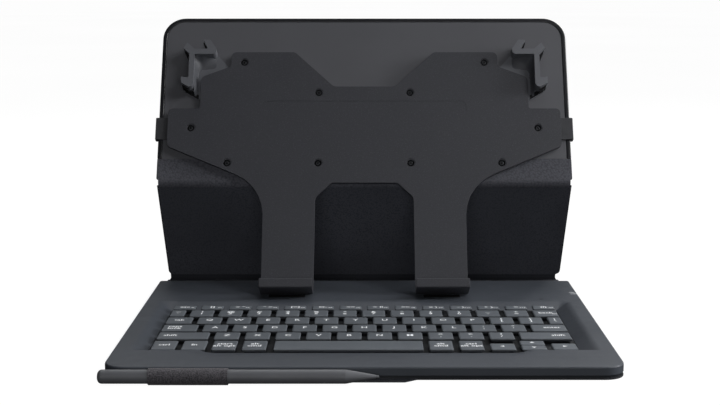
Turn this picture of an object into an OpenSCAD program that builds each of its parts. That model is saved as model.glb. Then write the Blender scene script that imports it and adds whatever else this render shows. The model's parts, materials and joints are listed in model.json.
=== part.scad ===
// Tablet keyboard case: a slim keyboard deck, a two-fold fabric cover and a carrier plate
// with two foot hooks and two sprung corner grippers. The stylus lies in a loop in front.
// +X is to the right, +Y is to the back, +Z is up. The origin is under the middle of the
// part, on the surface that it stands on.

/* [Keyboard deck] */
// Width of the deck's border beside the key well
deck_side_margin = 9.7; // [8:0.1:14]
// Depth of the deck behind the key well
rear_shelf_d = 54.55; // [50:0.05:60]
// Corner radius at the front
front_corner_r = 11; // [6:0.5:14]
// Corner radius at the back
rear_corner_r = 1.6; // [1.5:0.1:6]
// Thickness of the fabric under the deck
cover_t = 0.9; // [0.7:0.05:1.2]
// Thickness of the bottom case
bottom_case_t = 1.25; // [1.2:0.05:1.8]
// Thickness of the top case's roof and of its front and rear walls
roof_t = 1.2; // [1:0.1:1.3]
// Width of the top case's outer walls
wall_t = 3.2; // [2.4:0.1:4]

/* [Key well] */
// Gap between the well's floor edge and the keys at the sides
key_side_gap = 2.08; // [1:0.02:4]
// Run of the well's sloping sides
side_slope_run = 7.8; // [4:0.1:10]
// Run of the well's sloping back
rear_slope_run = 10.9; // [6:0.1:11.5]
// Distance from the deck's front edge to the keys
key_front_margin = 33.4; // [32:0.1:36]
// Half width of the ramp in front of the space bar
ramp_half_w = 87; // [60:1:95]
// Length of that ramp
ramp_run = 12.4; // [8:0.1:13]
// Depth of the ramp's foot below the deck's surface
ramp_drop = 1.8; // [1:0.1:2.4]

/* [Keys] */
// Distance from one key to the next
key_pitch = 17; // [15:0.05:19]
// Width of the key rows, counted in key pitches
row_pitches = 13.72; // [13.6:0.01:14]
// Gap between two keys
key_gap = 3; // [2.6:0.1:3.4]
// Depth of the keys in the front row
front_row_depth = 17.8; // [16:0.1:18.4]
// Depth of the keys in the function row
function_row_depth = 8; // [7.4:0.1:9]
// Height of a key cap
cap_h = 1.8; // [1.6:0.1:1.8]
// Wall of a key cap
cap_wall = 0.8; // [0.6:0.05:1]
// Corner radius of a key cap
cap_corner_r = 1.6; // [0.6:0.1:2.2]
// Travel of a key
key_travel = 1.3; // [1.1:0.05:1.6]
// Gap under a cap that is pressed down
press_gap = 0.4; // [0.3:0.05:0.6]
// Depth of the arrow keys at the sides
side_arrow_depth = 12.2; // [8:0.1:14]
// Thickness of the steel plate under the keys
support_t = 0.6; // [0.5:0.05:0.8]
// Thickness of the rubber dome sheet
dome_sheet_t = 0.75; // [0.6:0.05:0.8]

/* [Cover] */
// Length of the fabric spine behind the deck
spine_l = 29.6; // [28:0.1:33]
// Distance that the spine stays inside the deck at each side
spine_inset = 5.2; // [3:0.1:12]
// Length of the flap, from the fold to the crease
flap_l = 80; // [79:0.1:83]
// Distance that the flap's foot stays inside the deck at each side
flap_foot_inset = 2; // [1:0.1:5]
// Length of the back panel, above the crease
panel_l = 115.9; // [112:0.1:122]
// Corner radius of the back panel
panel_corner_r = 15; // [9:0.5:20]
// Thickness of the cover's outer skin
skin_t = 0.9; // [0.7:0.05:1]
// Thickness of the stiff board in the back panel
panel_board_t = 1.6; // [1.5:0.05:2]
// Thickness of the stiff board in the flap
flap_board_t = 1.2; // [0.8:0.05:1.3]
// Thickness of the panel's smooth lining
liner_t = 0.5; // [0.4:0.05:0.6]
// Width of the rim round the back panel
rim_w = 3; // [2:0.1:4]
// Height that the rim stands above the lining
rim_rise = 0.2; // [0.1:0.05:0.3]
// Height of the rough strip above the crease
rough_strip_l = 15.5; // [10:0.5:17]

/* [Carrier] */
// Thickness of the carrier's backing
backing_t = 1.8; // [1.7:0.05:2.2]
// Thickness of the carrier's front shell
shell_t = 2.4; // [2.2:0.1:3]
// Distance from the crease to the underside of the foot hooks
leg_drop = 75; // [74:0.1:76]
// Half distance between the outer edges of the legs
leg_outer_x = 65; // [60:0.5:68]
// Width of a leg
leg_w = 33; // [28:0.5:35]
// Room for the tablet inside a foot hook
tablet_room = 11.8; // [9:0.1:12.5]
// Thickness of the hooks' floors and lips
hook_t = 2; // [1.6:0.1:2.4]
// Height of a hook's lip
lip_h = 6; // [5:0.1:7]
// Height of the carrier's top corners above the crease
carrier_top = 89.2; // [86:0.2:92]
// Diameter of a carrier screw's head
screw_head_d = 3.9; // [3.4:0.1:4.2]
// Diameter of a carrier screw's shank
screw_shank_d = 2.2; // [1.8:0.1:2.4]

/* [Grippers] */
// Height of a corner gripper's walls
gripper_wall_h = 8.85; // [6:0.05:11]
// Thickness of a gripper's sliding web
web_t = 1.4; // [1:0.05:1.4]
// Travel of a gripper
gripper_travel = 12; // [6:0.5:14]
// Direction in which a gripper slides, up from the panel's width
gripper_slide_angle = 40.5; // [35:0.5:45]

/* [Dock] */
// Distance from the wall of the key well to the foot of the carrier
dock_run = 13.75; // [11.5:0.05:17]
// Depth of the textured strips in front of the feet
dock_strip_d = 6.2; // [4:0.1:7]
// Width of the textured strips
dock_strip_w = 22.7; // [16:0.1:28]
// Height of the textured strips
dock_strip_h = 0.4; // [0.3:0.05:0.6]

/* [Stylus] */
// Diameter of the stylus
stylus_d = 7.2; // [6:0.1:8]
// Length of the stylus
stylus_l = 143.4; // [130:0.1:150]
// Length of its cone
stylus_cone_l = 17; // [10:0.1:22]
// Distance that the stylus reaches past the deck's left side
stylus_overhang = 1.2; // [-4:0.1:4]
// Distance from the stylus's axis to the deck's front edge
stylus_y = 8.1; // [7.5:0.1:9]
// Thickness of the stylus loop
loop_t = 0.5; // [0.4:0.05:0.8]
// Width of the stylus loop
loop_w = 40.3; // [30:0.1:50]
// Distance from the deck's left side to the stylus loop
loop_inset = 24.6; // [20:0.1:60]

/* [Switch and batteries] */
// Travel of the power switch
switch_travel = 3; // [2:0.1:4]
// Diameter of a coin cell
cell_d = 20; // [20:0.1:20.2]
// Thickness of a coin cell
cell_t = 2.5; // [2:0.05:2.6]
// Wall of the battery tray beside the cells
tray_wall = 1; // [0.8:0.1:1.5]

/* [Clearances] */
// Sliding clearance of the moving pieces
slide_gap = 0.2; // [0.15:0.05:0.3]
// Gap between a foot and the deck that it stands on
dock_gap = 0.3; // [0.2:0.05:0.4]
// Gap from the fold's axis to the parts on either side
fold_gap = 1.2; // [1.1:0.05:1.6]
// Gap from the crease's axis to the parts on either side
crease_gap = 2; // [1.2:0.05:2.4]

/* [Hidden] */
$fn = 48;
eps = 0.01;

// Heights in the deck, up from the ground
case_z = cover_t;
shelf_z = case_z + bottom_case_t;
sheet_z = shelf_z + support_t;
well_floor_z = sheet_z + dome_sheet_t;
cap_z = well_floor_z + press_gap + key_travel;
cap_top_z = cap_z + cap_h;
cap_proud = 0.05;
deck_top = cap_top_z - cap_proud;
top_case_h = deck_top - shelf_z;
roof_z = deck_top - roof_t;

// Widths, from the key rows outwards
keys_w = row_pitches * key_pitch - key_gap;
well_half_floor = keys_w / 2 + key_side_gap;
well_half_w = well_half_floor + side_slope_run;
deck_w = 2 * (well_half_w + deck_side_margin);
spine_w = deck_w - 2 * spine_inset;
flap_foot_w = deck_w - 2 * flap_foot_inset;
panel_w = deck_w;

// Places along the deck, back from its front edge
bottom_row_y = key_front_margin;
shift_row_lead = 0.95;
shift_row_y = bottom_row_y + front_row_depth + key_gap + shift_row_lead;
letter_depth = key_pitch - key_gap;
caps_row_y = shift_row_y + key_pitch;
tab_row_y = caps_row_y + key_pitch;
number_row_y = tab_row_y + key_pitch;
function_row_lead = 0.2;
function_row_y = number_row_y + letter_depth + key_gap + function_row_lead;
well_front_gap = 0.4;
well_front_y = key_front_margin - well_front_gap;
well_back_gap = 1.2;
well_back_y = function_row_y + function_row_depth + well_back_gap;
well_rim_y = well_back_y + rear_slope_run;
bay_wall = 2.4;
rear_bay_y = well_rim_y + bay_wall;
dock_y = rear_bay_y + dock_run;
deck_d = rear_bay_y + rear_shelf_d;
rear_bay_end = deck_d - wall_t;
bay_half_w = deck_w / 2 - wall_t;
palm_bay_end = well_front_y - ramp_run - wall_t;

// Layers of the cover, from the fold axes in the middle of the outer skin
skin_half = skin_t / 2;
panel_board_top = skin_half + panel_board_t;
liner_top = panel_board_top + liner_t;
flap_board_top = skin_half + flap_board_t;
flap_liner_t = 0.4;
backing_top = liner_top + backing_t;
shell_top = backing_top + shell_t;

// The cover stands as a triangle: deck, flap and panel. Two circles fix its crease.
fold_y = deck_d + spine_l;
fold_z = skin_half;
foot_z = deck_top + dock_gap;
foot_reach = norm([leg_drop, liner_top]);
stand_base = norm([fold_y - dock_y, fold_z - foot_z]);
stand_a = (foot_reach ^ 2 - flap_l ^ 2 + stand_base ^ 2) / (2 * stand_base);
stand_h = sqrt(foot_reach ^ 2 - stand_a ^ 2);
base_dir = [fold_y - dock_y, fold_z - foot_z] / stand_base;
crease_y = dock_y + stand_a * base_dir[0] - stand_h * base_dir[1];
crease_z = foot_z + stand_a * base_dir[1] + stand_h * base_dir[0];
flap_angle = atan2(crease_z - fold_z, crease_y - fold_y);
panel_angle = atan2(crease_z - foot_z, crease_y - dock_y) + atan2(liner_top, leg_drop);

// The whole part's depth, which sets the origin
front_edge_y = -stylus_y - stylus_d / 2 - slide_gap - loop_t;
back_edge_y = crease_y + panel_l * cos(panel_angle) + skin_half * sin(panel_angle);
origin_y = (front_edge_y + back_edge_y) / 2;

// Points of an arc that rounds the corner b, between a and c, with radius r
function corner_arc(a, b, c, r, steps = 5) =
    let (
        to_a = (a - b) / norm(a - b),
        to_c = (c - b) / norm(c - b),
        half = acos(to_a * to_c) / 2,
        middle = b + (to_a + to_c) / norm(to_a + to_c) * r / sin(half),
        start = b + to_a * r / tan(half) - middle,
        turn = cross(to_a, to_c) > 0 ? -1 : 1,
        sweep = 180 - 2 * half
    )
    [for (i = [0:steps]) let (t = -turn * -sweep * i / steps)
        middle + [start[0] * cos(t) - start[1] * sin(t), start[0] * sin(t) + start[1] * cos(t)]];

// An outline with rounded corners, from points given as [x, y, radius]
function rounded(points) =
    [for (i = [0:len(points) - 1])
        let (
            n = len(points),
            p = points[i],
            a = points[(i + n - 1) % n],
            c = points[(i + 1) % n]
        )
        each p[2] == 0 ? [[p[0], p[1]]]
            : corner_arc([a[0], a[1]], [p[0], p[1]], [c[0], c[1]], p[2])];

// The same outline moved inwards by d; the points run clockwise
function inset(points, d) =
    [for (i = [0:len(points) - 1])
        let (
            n = len(points),
            b = [points[i][0], points[i][1]],
            a = [points[(i + n - 1) % n][0], points[(i + n - 1) % n][1]],
            c = [points[(i + 1) % n][0], points[(i + 1) % n][1]],
            in_dir = (b - a) / norm(b - a),
            out_dir = (c - b) / norm(c - b),
            in_normal = [in_dir[1], -in_dir[0]],
            out_normal = [out_dir[1], -out_dir[0]],
            shift = (in_normal + out_normal) * d / (1 + in_normal * out_normal)
        )
        [b[0] + shift[0], b[1] + shift[1], max(points[i][2] - d, 0.6)]];

// The left half of an outline whose right half is given, in running order
function mirrored(points) =
    [for (i = [len(points) - 1:-1:0]) [-points[i][0], points[i][1], points[i][2]]];

// Puts a piece that is drawn from the deck's front edge into the part's own frame
module place() translate([0, -origin_y, 0]) children();

// The flap's own plane: x across, y up from the fold, z out of its front face
module on_flap() place() translate([0, fold_y, fold_z]) rotate([flap_angle, 0, 0]) children();

// The back panel's own plane: x across, y up from the crease, z out of its front face
module on_panel() place() translate([0, crease_y, crease_z]) rotate([panel_angle, 0, 0]) children();

module both_sides() {
    children();
    mirror([1, 0, 0]) children();
}

// A plate whose front edge lies on the X axis, with round corners
module round_plate(w, d, r_front, r_rear, h) {
    linear_extrude(h) {
        translate([-w / 2 + r_front, 0]) square([w - 2 * r_front, d / 2]);
        translate([-w / 2 + r_rear, d / 2]) square([w - 2 * r_rear, d / 2]);
        translate([-w / 2, r_front]) square([w, d - r_front - r_rear]);
        for (side = [-1, 1]) {
            translate([side * (w / 2 - r_front), r_front]) circle(r_front);
            translate([side * (w / 2 - r_rear), d - r_rear]) circle(r_rear);
        }
    }
}

// A box between two corners
module span(low, high) translate(low) cube(high - low);

/* ---- deck ---- */

boss_d = 6;
boss_bore_d = 2;
case_screw_head_d = 3.4;
case_screw_head_h = 0.8;
case_screw_shank_d = 1.9;
case_screw_l = 3.4;
case_screw_play = 0.05;
case_hole_play = 0.4;
screw_inset = 10.7;
screw_x = deck_w / 2 - screw_inset;
palm_screw_x = 110;
case_screw_spots = concat(
    [for (x = [-palm_screw_x, 0, palm_screw_x]) [x, (wall_t + palm_bay_end) / 2]],
    [for (x = [-screw_x, screw_x]) [x, rear_bay_y + boss_d + 1]],
    [for (x = [-screw_x, 0, screw_x]) [x, rear_bay_end - boss_d]]
);
palm_bay_inset = 3;
edge_step = 0.3;
front_slope_run = 0.5;
ramp_side_run = 3;

dock_x = leg_outer_x - leg_w / 2;
magnet_w = 21;
magnet_d = 6.5;
magnet_h = 1.8;
dock_setback = 0.6;
light_x = 110;
light_y = rear_bay_y + bay_wall;
light_w = 2.4;
light_d = 1.2;
light_play = 0.05;

switch_y = dock_y + 5.4;
switch_neck_w = 3;
switch_neck_h = 1.4;
switch_thumb_w = 6.6;
switch_thumb_h = 2.4;
switch_proud = 0.4;
switch_plate = [1.2, 5.2, 2.6];
switch_z = shelf_z + 2.2;

tray_w = cell_d + 2 * tray_wall;
tray_front_l = 4.2;
cell_spacing = 1.2;
tray_l = tray_front_l + 2 * cell_d + cell_spacing + tray_wall + 0.2;
tray_y = dock_y + 3.4;
tray_z = shelf_z + slide_gap;
tray_h = roof_z - shelf_z - 2 * slide_gap;
tray_floor_t = 0.5;
rail_t = 1.5;

module well_cut() {
    top = deck_top + eps;
    slope = side_slope_run / (deck_top - well_floor_z);
    intersection() {
        translate([0, deck_d, 0]) rotate([90, 0, 0]) linear_extrude(deck_d)
            polygon([
                [-well_half_floor, well_floor_z], [well_half_floor, well_floor_z],
                [well_half_w + slope * eps, top], [-well_half_w - slope * eps, top]
            ]);
        translate([-deck_w / 2, 0, 0]) rotate([90, 0, 90]) linear_extrude(deck_w)
            polygon([
                [well_front_y, well_floor_z], [well_back_y, well_floor_z],
                [well_rim_y, top], [well_front_y - front_slope_run, top]
            ]);
    }
    span([-well_half_floor, well_front_y, shelf_z - eps],
        [well_half_floor, well_back_y, well_floor_z + eps]);
}

module ramp_cut() {
    top = deck_top + eps;
    foot = deck_top - ramp_drop;
    narrow = ramp_half_w - ramp_side_run;
    wide = ramp_half_w + ramp_side_run;
    back = well_front_y + 1;
    intersection() {
        translate([-wide - 1, 0, 0]) rotate([90, 0, 90]) linear_extrude(2 * wide + 2)
            polygon([[well_front_y - ramp_run, top], [back, foot], [back, top]]);
        translate([0, deck_d, 0]) rotate([90, 0, 0]) linear_extrude(deck_d)
            polygon([[-narrow, foot - 1], [narrow, foot - 1], [wide, top], [-wide, top]]);
    }
}

module case_bays() {
    difference() {
        union() {
            span([-bay_half_w, rear_bay_y, shelf_z - eps], [bay_half_w, rear_bay_end, roof_z]);
            span([-bay_half_w + palm_bay_inset, wall_t, shelf_z - eps],
                [bay_half_w - palm_bay_inset, palm_bay_end, roof_z]);
        }
        for (spot = case_screw_spots)
            translate([spot[0], spot[1], shelf_z - 1]) cylinder(d = boss_d, h = top_case_h + 1);
    }
}

module top_case() color("#474d55") place() difference() {
    translate([0, 0, shelf_z]) round_plate(deck_w, deck_d, front_corner_r, rear_corner_r, top_case_h);
    well_cut();
    ramp_cut();
    case_bays();
    for (spot = case_screw_spots)
        translate([spot[0], spot[1], shelf_z - 1]) cylinder(d = boss_bore_d, h = case_screw_l + 1);
    // window of the status light
    translate([light_x, light_y, deck_top])
        cube([light_w + 2 * light_play, light_d + 2 * light_play, 3 * roof_t], center = true);
    // slot of the power switch
    slot_half_w = switch_neck_w / 2 + slide_gap;
    slot_half_h = switch_neck_h / 2 + slide_gap;
    span([bay_half_w - 1, switch_y - slot_half_w, switch_z - slot_half_h],
        [deck_w / 2 + 1, switch_y + slot_half_w + switch_travel, switch_z + slot_half_h]);
    // mouth of the battery tray
    span(
        [-deck_w / 2 - 1, tray_y - slide_gap, shelf_z - eps],
        [-bay_half_w + 1, tray_y + tray_w + slide_gap, roof_z]
    );
}

module bottom_case() color("#2b2e33") place() difference() {
    translate([0, edge_step, case_z]) round_plate(deck_w - 2 * edge_step, deck_d - 2 * edge_step,
        front_corner_r - edge_step, rear_corner_r - edge_step, bottom_case_t);
    for (spot = case_screw_spots) translate([spot[0], spot[1], case_z - 1]) {
        cylinder(d = case_screw_shank_d + case_hole_play, h = bottom_case_t + 2);
        cylinder(d = case_screw_head_d + case_hole_play, h = case_screw_head_h + 1);
    }
}

module case_screws() color("#8d9095") place() {
    head_h = case_screw_head_h - case_screw_play;
    for (spot = case_screw_spots) translate([spot[0], spot[1], case_z + case_screw_play]) {
        difference() {
            cylinder(d = case_screw_head_d, h = head_h);
            // hexagonal socket
            translate([0, 0, -1]) cylinder(d = 1.3, h = 1 + head_h * 0.6, $fn = 6);
        }
        translate([0, 0, head_h]) cylinder(d = case_screw_shank_d, h = case_screw_l - 2 * case_screw_play);
    }
}

// A tab in front, beside the stylus loop, backs the cone of the stylus
tab_gap = 0.4;
tab_d = 4.4;
tab_right_x = 27;
module bottom_cover() color("#33363b") place() {
    round_plate(deck_w, deck_d, front_corner_r, rear_corner_r, cover_t);
    tab_left_x = loop_left_x + loop_w + tab_gap;
    linear_extrude(loop_t) polygon([
        [tab_left_x, eps], [tab_left_x, -tab_d], [tab_right_x - 1.4 * tab_d, -tab_d], [tab_right_x, eps]
    ]);
}

// Run in which the spine flares out to the deck's corners
spine_flare = 3;
module spine_strip() color("#2c2e33") place() {
    half = spine_w / 2;
    rear = fold_y - fold_gap;
    linear_extrude(cover_t) polygon([
        [-half - spine_flare, deck_d], [-half, deck_d + spine_flare], [-half, rear],
        [half, rear], [half, deck_d + spine_flare], [half + spine_flare, deck_d]
    ]);
    // welt along the fold
    translate([-spine_w / 2, fold_y, fold_z]) rotate([0, 90, 0]) cylinder(r = skin_half, h = spine_w);
}

module support_plate() color("#6f7378") place() translate([0, 0, shelf_z]) difference() {
    span([-well_half_floor + slide_gap, well_front_y + slide_gap, 0],
        [well_half_floor - slide_gap, well_back_y - slide_gap, support_t]);
    // drain slots between the key rows
    slot = [8, 1.2, 4 * support_t];
    pitch = well_half_floor / 5;
    for (y = [shift_row_y, caps_row_y, tab_row_y, number_row_y], x = [-4 * pitch:pitch:4 * pitch])
        translate([x, y - key_gap / 2, support_t / 2]) cube(slot, center = true);
}

// Every key as [left, right, bottom, depth]; the rows below pick from these
half_gap = key_gap / 2;
left_end = -keys_w / 2;
right_end = keys_w / 2;
key_w = key_pitch - key_gap;
function key_run(count, first_middle, pitch, w, y, depth) =
    [for (i = [0:count - 1])
        let (middle = first_middle + i * pitch)
        [middle - w / 2, middle + w / 2, y, depth]];
function_key_w = key_w - 0.7;
function_pitch = (right_end - left_end - function_key_w) / 13;
function_spans = key_run(14, left_end + function_key_w / 2, function_pitch, function_key_w,
    function_row_y, function_row_depth);
number_first = -5.68 * key_pitch;
number_spans = concat(
    [[left_end, number_first - key_w / 2 - key_gap, number_row_y, letter_depth]],
    key_run(12, number_first, key_pitch, key_w, number_row_y, letter_depth)
);
backspace_spans = [[number_first + 11.5 * key_pitch + half_gap, right_end, number_row_y, letter_depth]];
upper_first = -5.3 * key_pitch;
tab_spans = [[left_end, upper_first - key_w / 2 - key_gap, tab_row_y, letter_depth]];
upper_spans = concat(
    key_run(12, upper_first, key_pitch, key_w, tab_row_y, letter_depth),
    [[upper_first + 11.5 * key_pitch + half_gap, right_end, tab_row_y, letter_depth]]
);
home_first = -5 * key_pitch;
caps_spans = [[left_end, home_first - key_w / 2 - key_gap, caps_row_y, letter_depth]];
home_spans = key_run(11, home_first, key_pitch, key_w, caps_row_y, letter_depth);
enter_spans = [[home_first + 10.5 * key_pitch + half_gap, right_end, caps_row_y, letter_depth]];
lower_first = -4.5 * key_pitch;
left_shift_spans = [[left_end, lower_first - key_w / 2 - key_gap, shift_row_y, letter_depth]];
lower_spans = key_run(10, lower_first, key_pitch, key_w, shift_row_y, letter_depth);
right_shift_spans = [[lower_first + 9.5 * key_pitch + half_gap, right_end, shift_row_y, letter_depth]];
modifier_w = key_w - 0.8;
modifier_pitch = modifier_w + key_gap + 0.15;
space_left = left_end + 4 * modifier_pitch + 0.7;
space_right = 1.88 * key_pitch;
right_pitch = modifier_pitch + 0.2;
right_first = space_right + key_gap + modifier_w / 2;
modifier_spans = concat(
    key_run(4, left_end + modifier_w / 2, modifier_pitch, modifier_w, bottom_row_y, front_row_depth),
    key_run(2, right_first, right_pitch, modifier_w, bottom_row_y, front_row_depth)
);
space_spans = [[space_left, space_right, bottom_row_y, front_row_depth]];
arrow_left = space_right + key_gap + 2 * right_pitch;
arrow_w = (right_end - arrow_left - 2 * key_gap) / 3;
arrow_split = 1.2;
half_arrow_d = (front_row_depth - arrow_split) / 2;
up_arrow_y = bottom_row_y + front_row_depth - half_arrow_d;
up_left = arrow_left + arrow_w + key_gap;
arrow_spans = [
    [arrow_left, arrow_left + arrow_w, bottom_row_y, side_arrow_depth],
    [up_left, up_left + arrow_w, bottom_row_y, half_arrow_d],
    [up_left, up_left + arrow_w, up_arrow_y, half_arrow_d],
    [right_end - arrow_w, right_end, bottom_row_y, side_arrow_depth]
];
all_spans = concat(function_spans, number_spans, backspace_spans, tab_spans, upper_spans, caps_spans,
    home_spans, enter_spans, left_shift_spans, lower_spans, right_shift_spans, modifier_spans,
    space_spans, arrow_spans);

module key_cap(at) {
    w = at[1] - at[0];
    d = at[3];
    difference() {
        translate([(at[0] + at[1]) / 2, at[2], cap_z]) round_plate(w, d, cap_corner_r, cap_corner_r, cap_h);
        span([at[0] + cap_wall, at[2] + cap_wall, cap_z - 1],
            [at[1] - cap_wall, at[2] + d - cap_wall, cap_top_z - cap_wall]);
    }
}

module key_caps(spans) color("#565b62") place() for (at = spans) key_cap(at);

module function_keys() key_caps(function_spans);
module number_keys() key_caps(number_spans);
module backspace_key() key_caps(backspace_spans);
module tab_key() key_caps(tab_spans);
module upper_letter_keys() key_caps(upper_spans);
module caps_lock_key() key_caps(caps_spans);
module home_letter_keys() key_caps(home_spans);
module enter_key() key_caps(enter_spans);
module left_shift_key() key_caps(left_shift_spans);
module lower_letter_keys() key_caps(lower_spans);
module right_shift_key() key_caps(right_shift_spans);
module modifier_keys() key_caps(modifier_spans);
module space_bar() key_caps(space_spans);
module arrow_keys() key_caps(arrow_spans);

link_gap = 0.5;
link_w = 1.1;
link_room = 0.3;
link_h = cap_h - cap_wall + press_gap - link_room;
dome_d = 4.6;
module scissor_links() color("#c9ccd0") place() for (at = all_spans) {
    inset_by = cap_wall + link_gap;
    low = [at[0] + inset_by, at[2] + inset_by, well_floor_z];
    high = [at[1] - inset_by, at[2] + at[3] - inset_by, well_floor_z + link_h];
    difference() {
        span(low, high);
        span(low + [link_w, link_w, -1], high + [-link_w, -link_w, 1]);
    }
}

module dome_sheet() color("#1b1d20") place() {
    span([-well_half_floor + slide_gap, well_front_y + slide_gap, sheet_z],
        [well_half_floor - slide_gap, well_back_y - slide_gap, well_floor_z]);
    for (at = all_spans) {
        room = min(at[1] - at[0], at[3]) - 2 * (cap_wall + link_gap + link_w + link_room);
        translate([(at[0] + at[1]) / 2, at[2] + at[3] / 2, well_floor_z - eps])
            cylinder(d = min(dome_d, room), h = link_h - 0.1, $fn = 24);
    }
}

board = [174, 17, 0.8];
board_left = -56;
board_setback = 29;
standoff = [3, 3, 0.4];
radio_module = [16, 10, 1.6];
controller_chip = [8, 8, 1];
cable_connector = [18, 4, 1.4];
board_y = rear_bay_end - board_setback;
module circuit_board() color("#1f5a3a") place() translate([board_left, board_y, shelf_z]) {
    for (share = [0.04, 0.5, 0.96]) translate([share * board[0], board[1] / 8, 0]) cube(standoff);
    translate([0, 0, standoff[2]]) cube(board);
    translate([0, 0, standoff[2] + board[2]]) {
        translate([board[0] * 2 / 3, board[1] / 4, 0]) cube(radio_module);
        translate([board[0] * 3 / 8, board[1] / 4, 0]) cube(controller_chip);
        translate([board[0] / 7, board[1] / 16, 0]) cube(cable_connector);
    }
}

module battery_bay() color("#202327") place() {
    inner = -deck_w / 2 + tray_l + slide_gap;
    for (y = [tray_y - slide_gap - rail_t, tray_y + tray_w + slide_gap])
        span([-bay_half_w, y, shelf_z], [inner, y + rail_t, roof_z]);
    span([inner, tray_y - slide_gap - rail_t, shelf_z],
        [inner + 1.2, tray_y + tray_w + slide_gap + rail_t, roof_z]);
}

module battery_tray() color("#3a3e44") place() difference() {
    span([-deck_w / 2, tray_y, tray_z], [-deck_w / 2 + tray_l, tray_y + tray_w, tray_z + tray_h]);
    for (i = [0, 1]) translate([cell_x(i), tray_y + tray_w / 2, tray_z + tray_floor_t])
        cylinder(d = cell_d + 0.3, h = tray_h);
    // thumb groove
    translate([-deck_w / 2, tray_y + tray_w / 2, tray_z]) cylinder(d = 3, h = 1.2, center = true);
}

function cell_x(i) = -deck_w / 2 + tray_front_l + cell_d / 2 + i * (cell_d + cell_spacing);
module coin_cells() color("#b9bdc2") place() for (i = [0, 1])
    translate([cell_x(i), tray_y + tray_w / 2, tray_z + tray_floor_t]) {
        step = 0.4;
        cylinder(d = cell_d, h = cell_t - step);
        cylinder(d = cell_d - 6 * step, h = cell_t);
    }

module dock_magnets() color("#a3a7ac") place() both_sides()
    span([dock_x - magnet_w / 2, dock_y - 1, roof_z - magnet_h],
        [dock_x + magnet_w / 2, dock_y - 1 + magnet_d, roof_z]);

module dock_strips() color("#1d1f22") place() both_sides()
    span([dock_x - dock_strip_w / 2, dock_y - dock_setback - dock_strip_d, deck_top],
        [dock_x + dock_strip_w / 2, dock_y - dock_setback, deck_top + dock_strip_h]);

module status_light() color("#d9dde2") place()
    translate([light_x, light_y, deck_top - roof_t / 2]) cube([light_w, light_d, roof_t], center = true);

module power_switch() color("#2a2d31") place() {
    plate_x = bay_half_w - slide_gap - switch_plate[0];
    thumb_x = deck_w / 2 + slide_gap;
    translate([plate_x, switch_y, switch_z]) {
        translate([0, -switch_plate[1] / 2, -switch_plate[2] / 2]) cube(switch_plate);
        translate([0, -switch_neck_w / 2, -switch_neck_h / 2])
            cube([thumb_x - plate_x + eps, switch_neck_w, switch_neck_h]);
    }
    translate([thumb_x, switch_y - switch_thumb_w / 2, switch_z - switch_thumb_h / 2])
        cube([switch_proud, switch_thumb_w, switch_thumb_h]);
}

/* ---- stylus ---- */

stylus_r = stylus_d / 2;
stylus_left_x = -deck_w / 2 - stylus_overhang;
loop_left_x = -deck_w / 2 + loop_inset;
stylus_z = stylus_r + slide_gap + loop_t;
nib_l = 1.6;
nib_r = 0.7;
module along_x(x) place() translate([x, -stylus_y, stylus_z]) rotate([0, 90, 0]) children();

module stylus_loop() color("#3b3e43") difference() {
    union() {
        along_x(loop_left_x) cylinder(r = stylus_z, h = loop_w);
        place() span([loop_left_x, -stylus_y, 0], [loop_left_x + loop_w, 0, loop_t]);
    }
    along_x(loop_left_x - 1) cylinder(r = stylus_r + slide_gap, h = loop_w + 2);
}

cap_l = 9;
module stylus_cap() color("#55585c") along_x(stylus_left_x) {
    translate([0, 0, stylus_r]) cylinder(r = stylus_r, h = cap_l - stylus_r);
    intersection() {
        translate([0, 0, stylus_r]) sphere(r = stylus_r);
        cylinder(r = stylus_r, h = stylus_r);
    }
}

module stylus_barrel() color("#4a4d51") along_x(stylus_left_x + cap_l)
    cylinder(r = stylus_r, h = stylus_l - cap_l - stylus_cone_l);

module stylus_tip() color("#8b8f94") along_x(stylus_left_x + stylus_l - stylus_cone_l) {
    cylinder(r1 = stylus_r, r2 = nib_r + 0.2, h = stylus_cone_l - nib_l);
    translate([0, 0, stylus_cone_l - nib_l]) cylinder(r = nib_r, h = nib_l);
}

/* ---- flap ---- */

flap_start = 5.6;
flap_corner_r = 3;
flap_top_half = panel_w / 2;
flap_foot_half = flap_foot_w / 2;
flap_board_inset = 3;
flap_liner_inset = 1;
module flap_layer(edge, low, high) on_flap() translate([0, 0, low]) linear_extrude(high - low)
    polygon(rounded([
        [-flap_foot_half + edge, flap_start + edge, flap_corner_r],
        [-flap_top_half + edge, flap_l - crease_gap - edge / 3, 0],
        [flap_top_half - edge, flap_l - crease_gap - edge / 3, 0],
        [flap_foot_half - edge, flap_start + edge, flap_corner_r]
    ]));

module fold_band() color("#2c2e33") on_flap()
    span([-spine_w / 2, fold_gap, -skin_half], [spine_w / 2, flap_start, skin_half]);
module flap_skin() color("#2a2c31") flap_layer(0, -skin_half, skin_half);
module flap_board() color("#3a3326") flap_layer(flap_board_inset, skin_half, flap_board_top);
module flap_lining() color("#1b1c20")
    flap_layer(flap_liner_inset, flap_board_top, flap_board_top + flap_liner_t);

/* ---- back panel ---- */

module panel_outline(edge, from) {
    r = panel_corner_r - edge;
    half = panel_w / 2 - edge;
    top = panel_l - edge;
    translate([-half, from]) square([2 * half, top - r - from]);
    translate([-half + r, from]) square([2 * (half - r), top - from]);
    for (side = [-1, 1]) translate([side * (half - r), top - r]) circle(r, $fn = 96);
}

module panel_layer(edge, from, low, high) on_panel() translate([0, 0, low])
    linear_extrude(high - low) panel_outline(edge, from);

cord_inset = 2;
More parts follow.
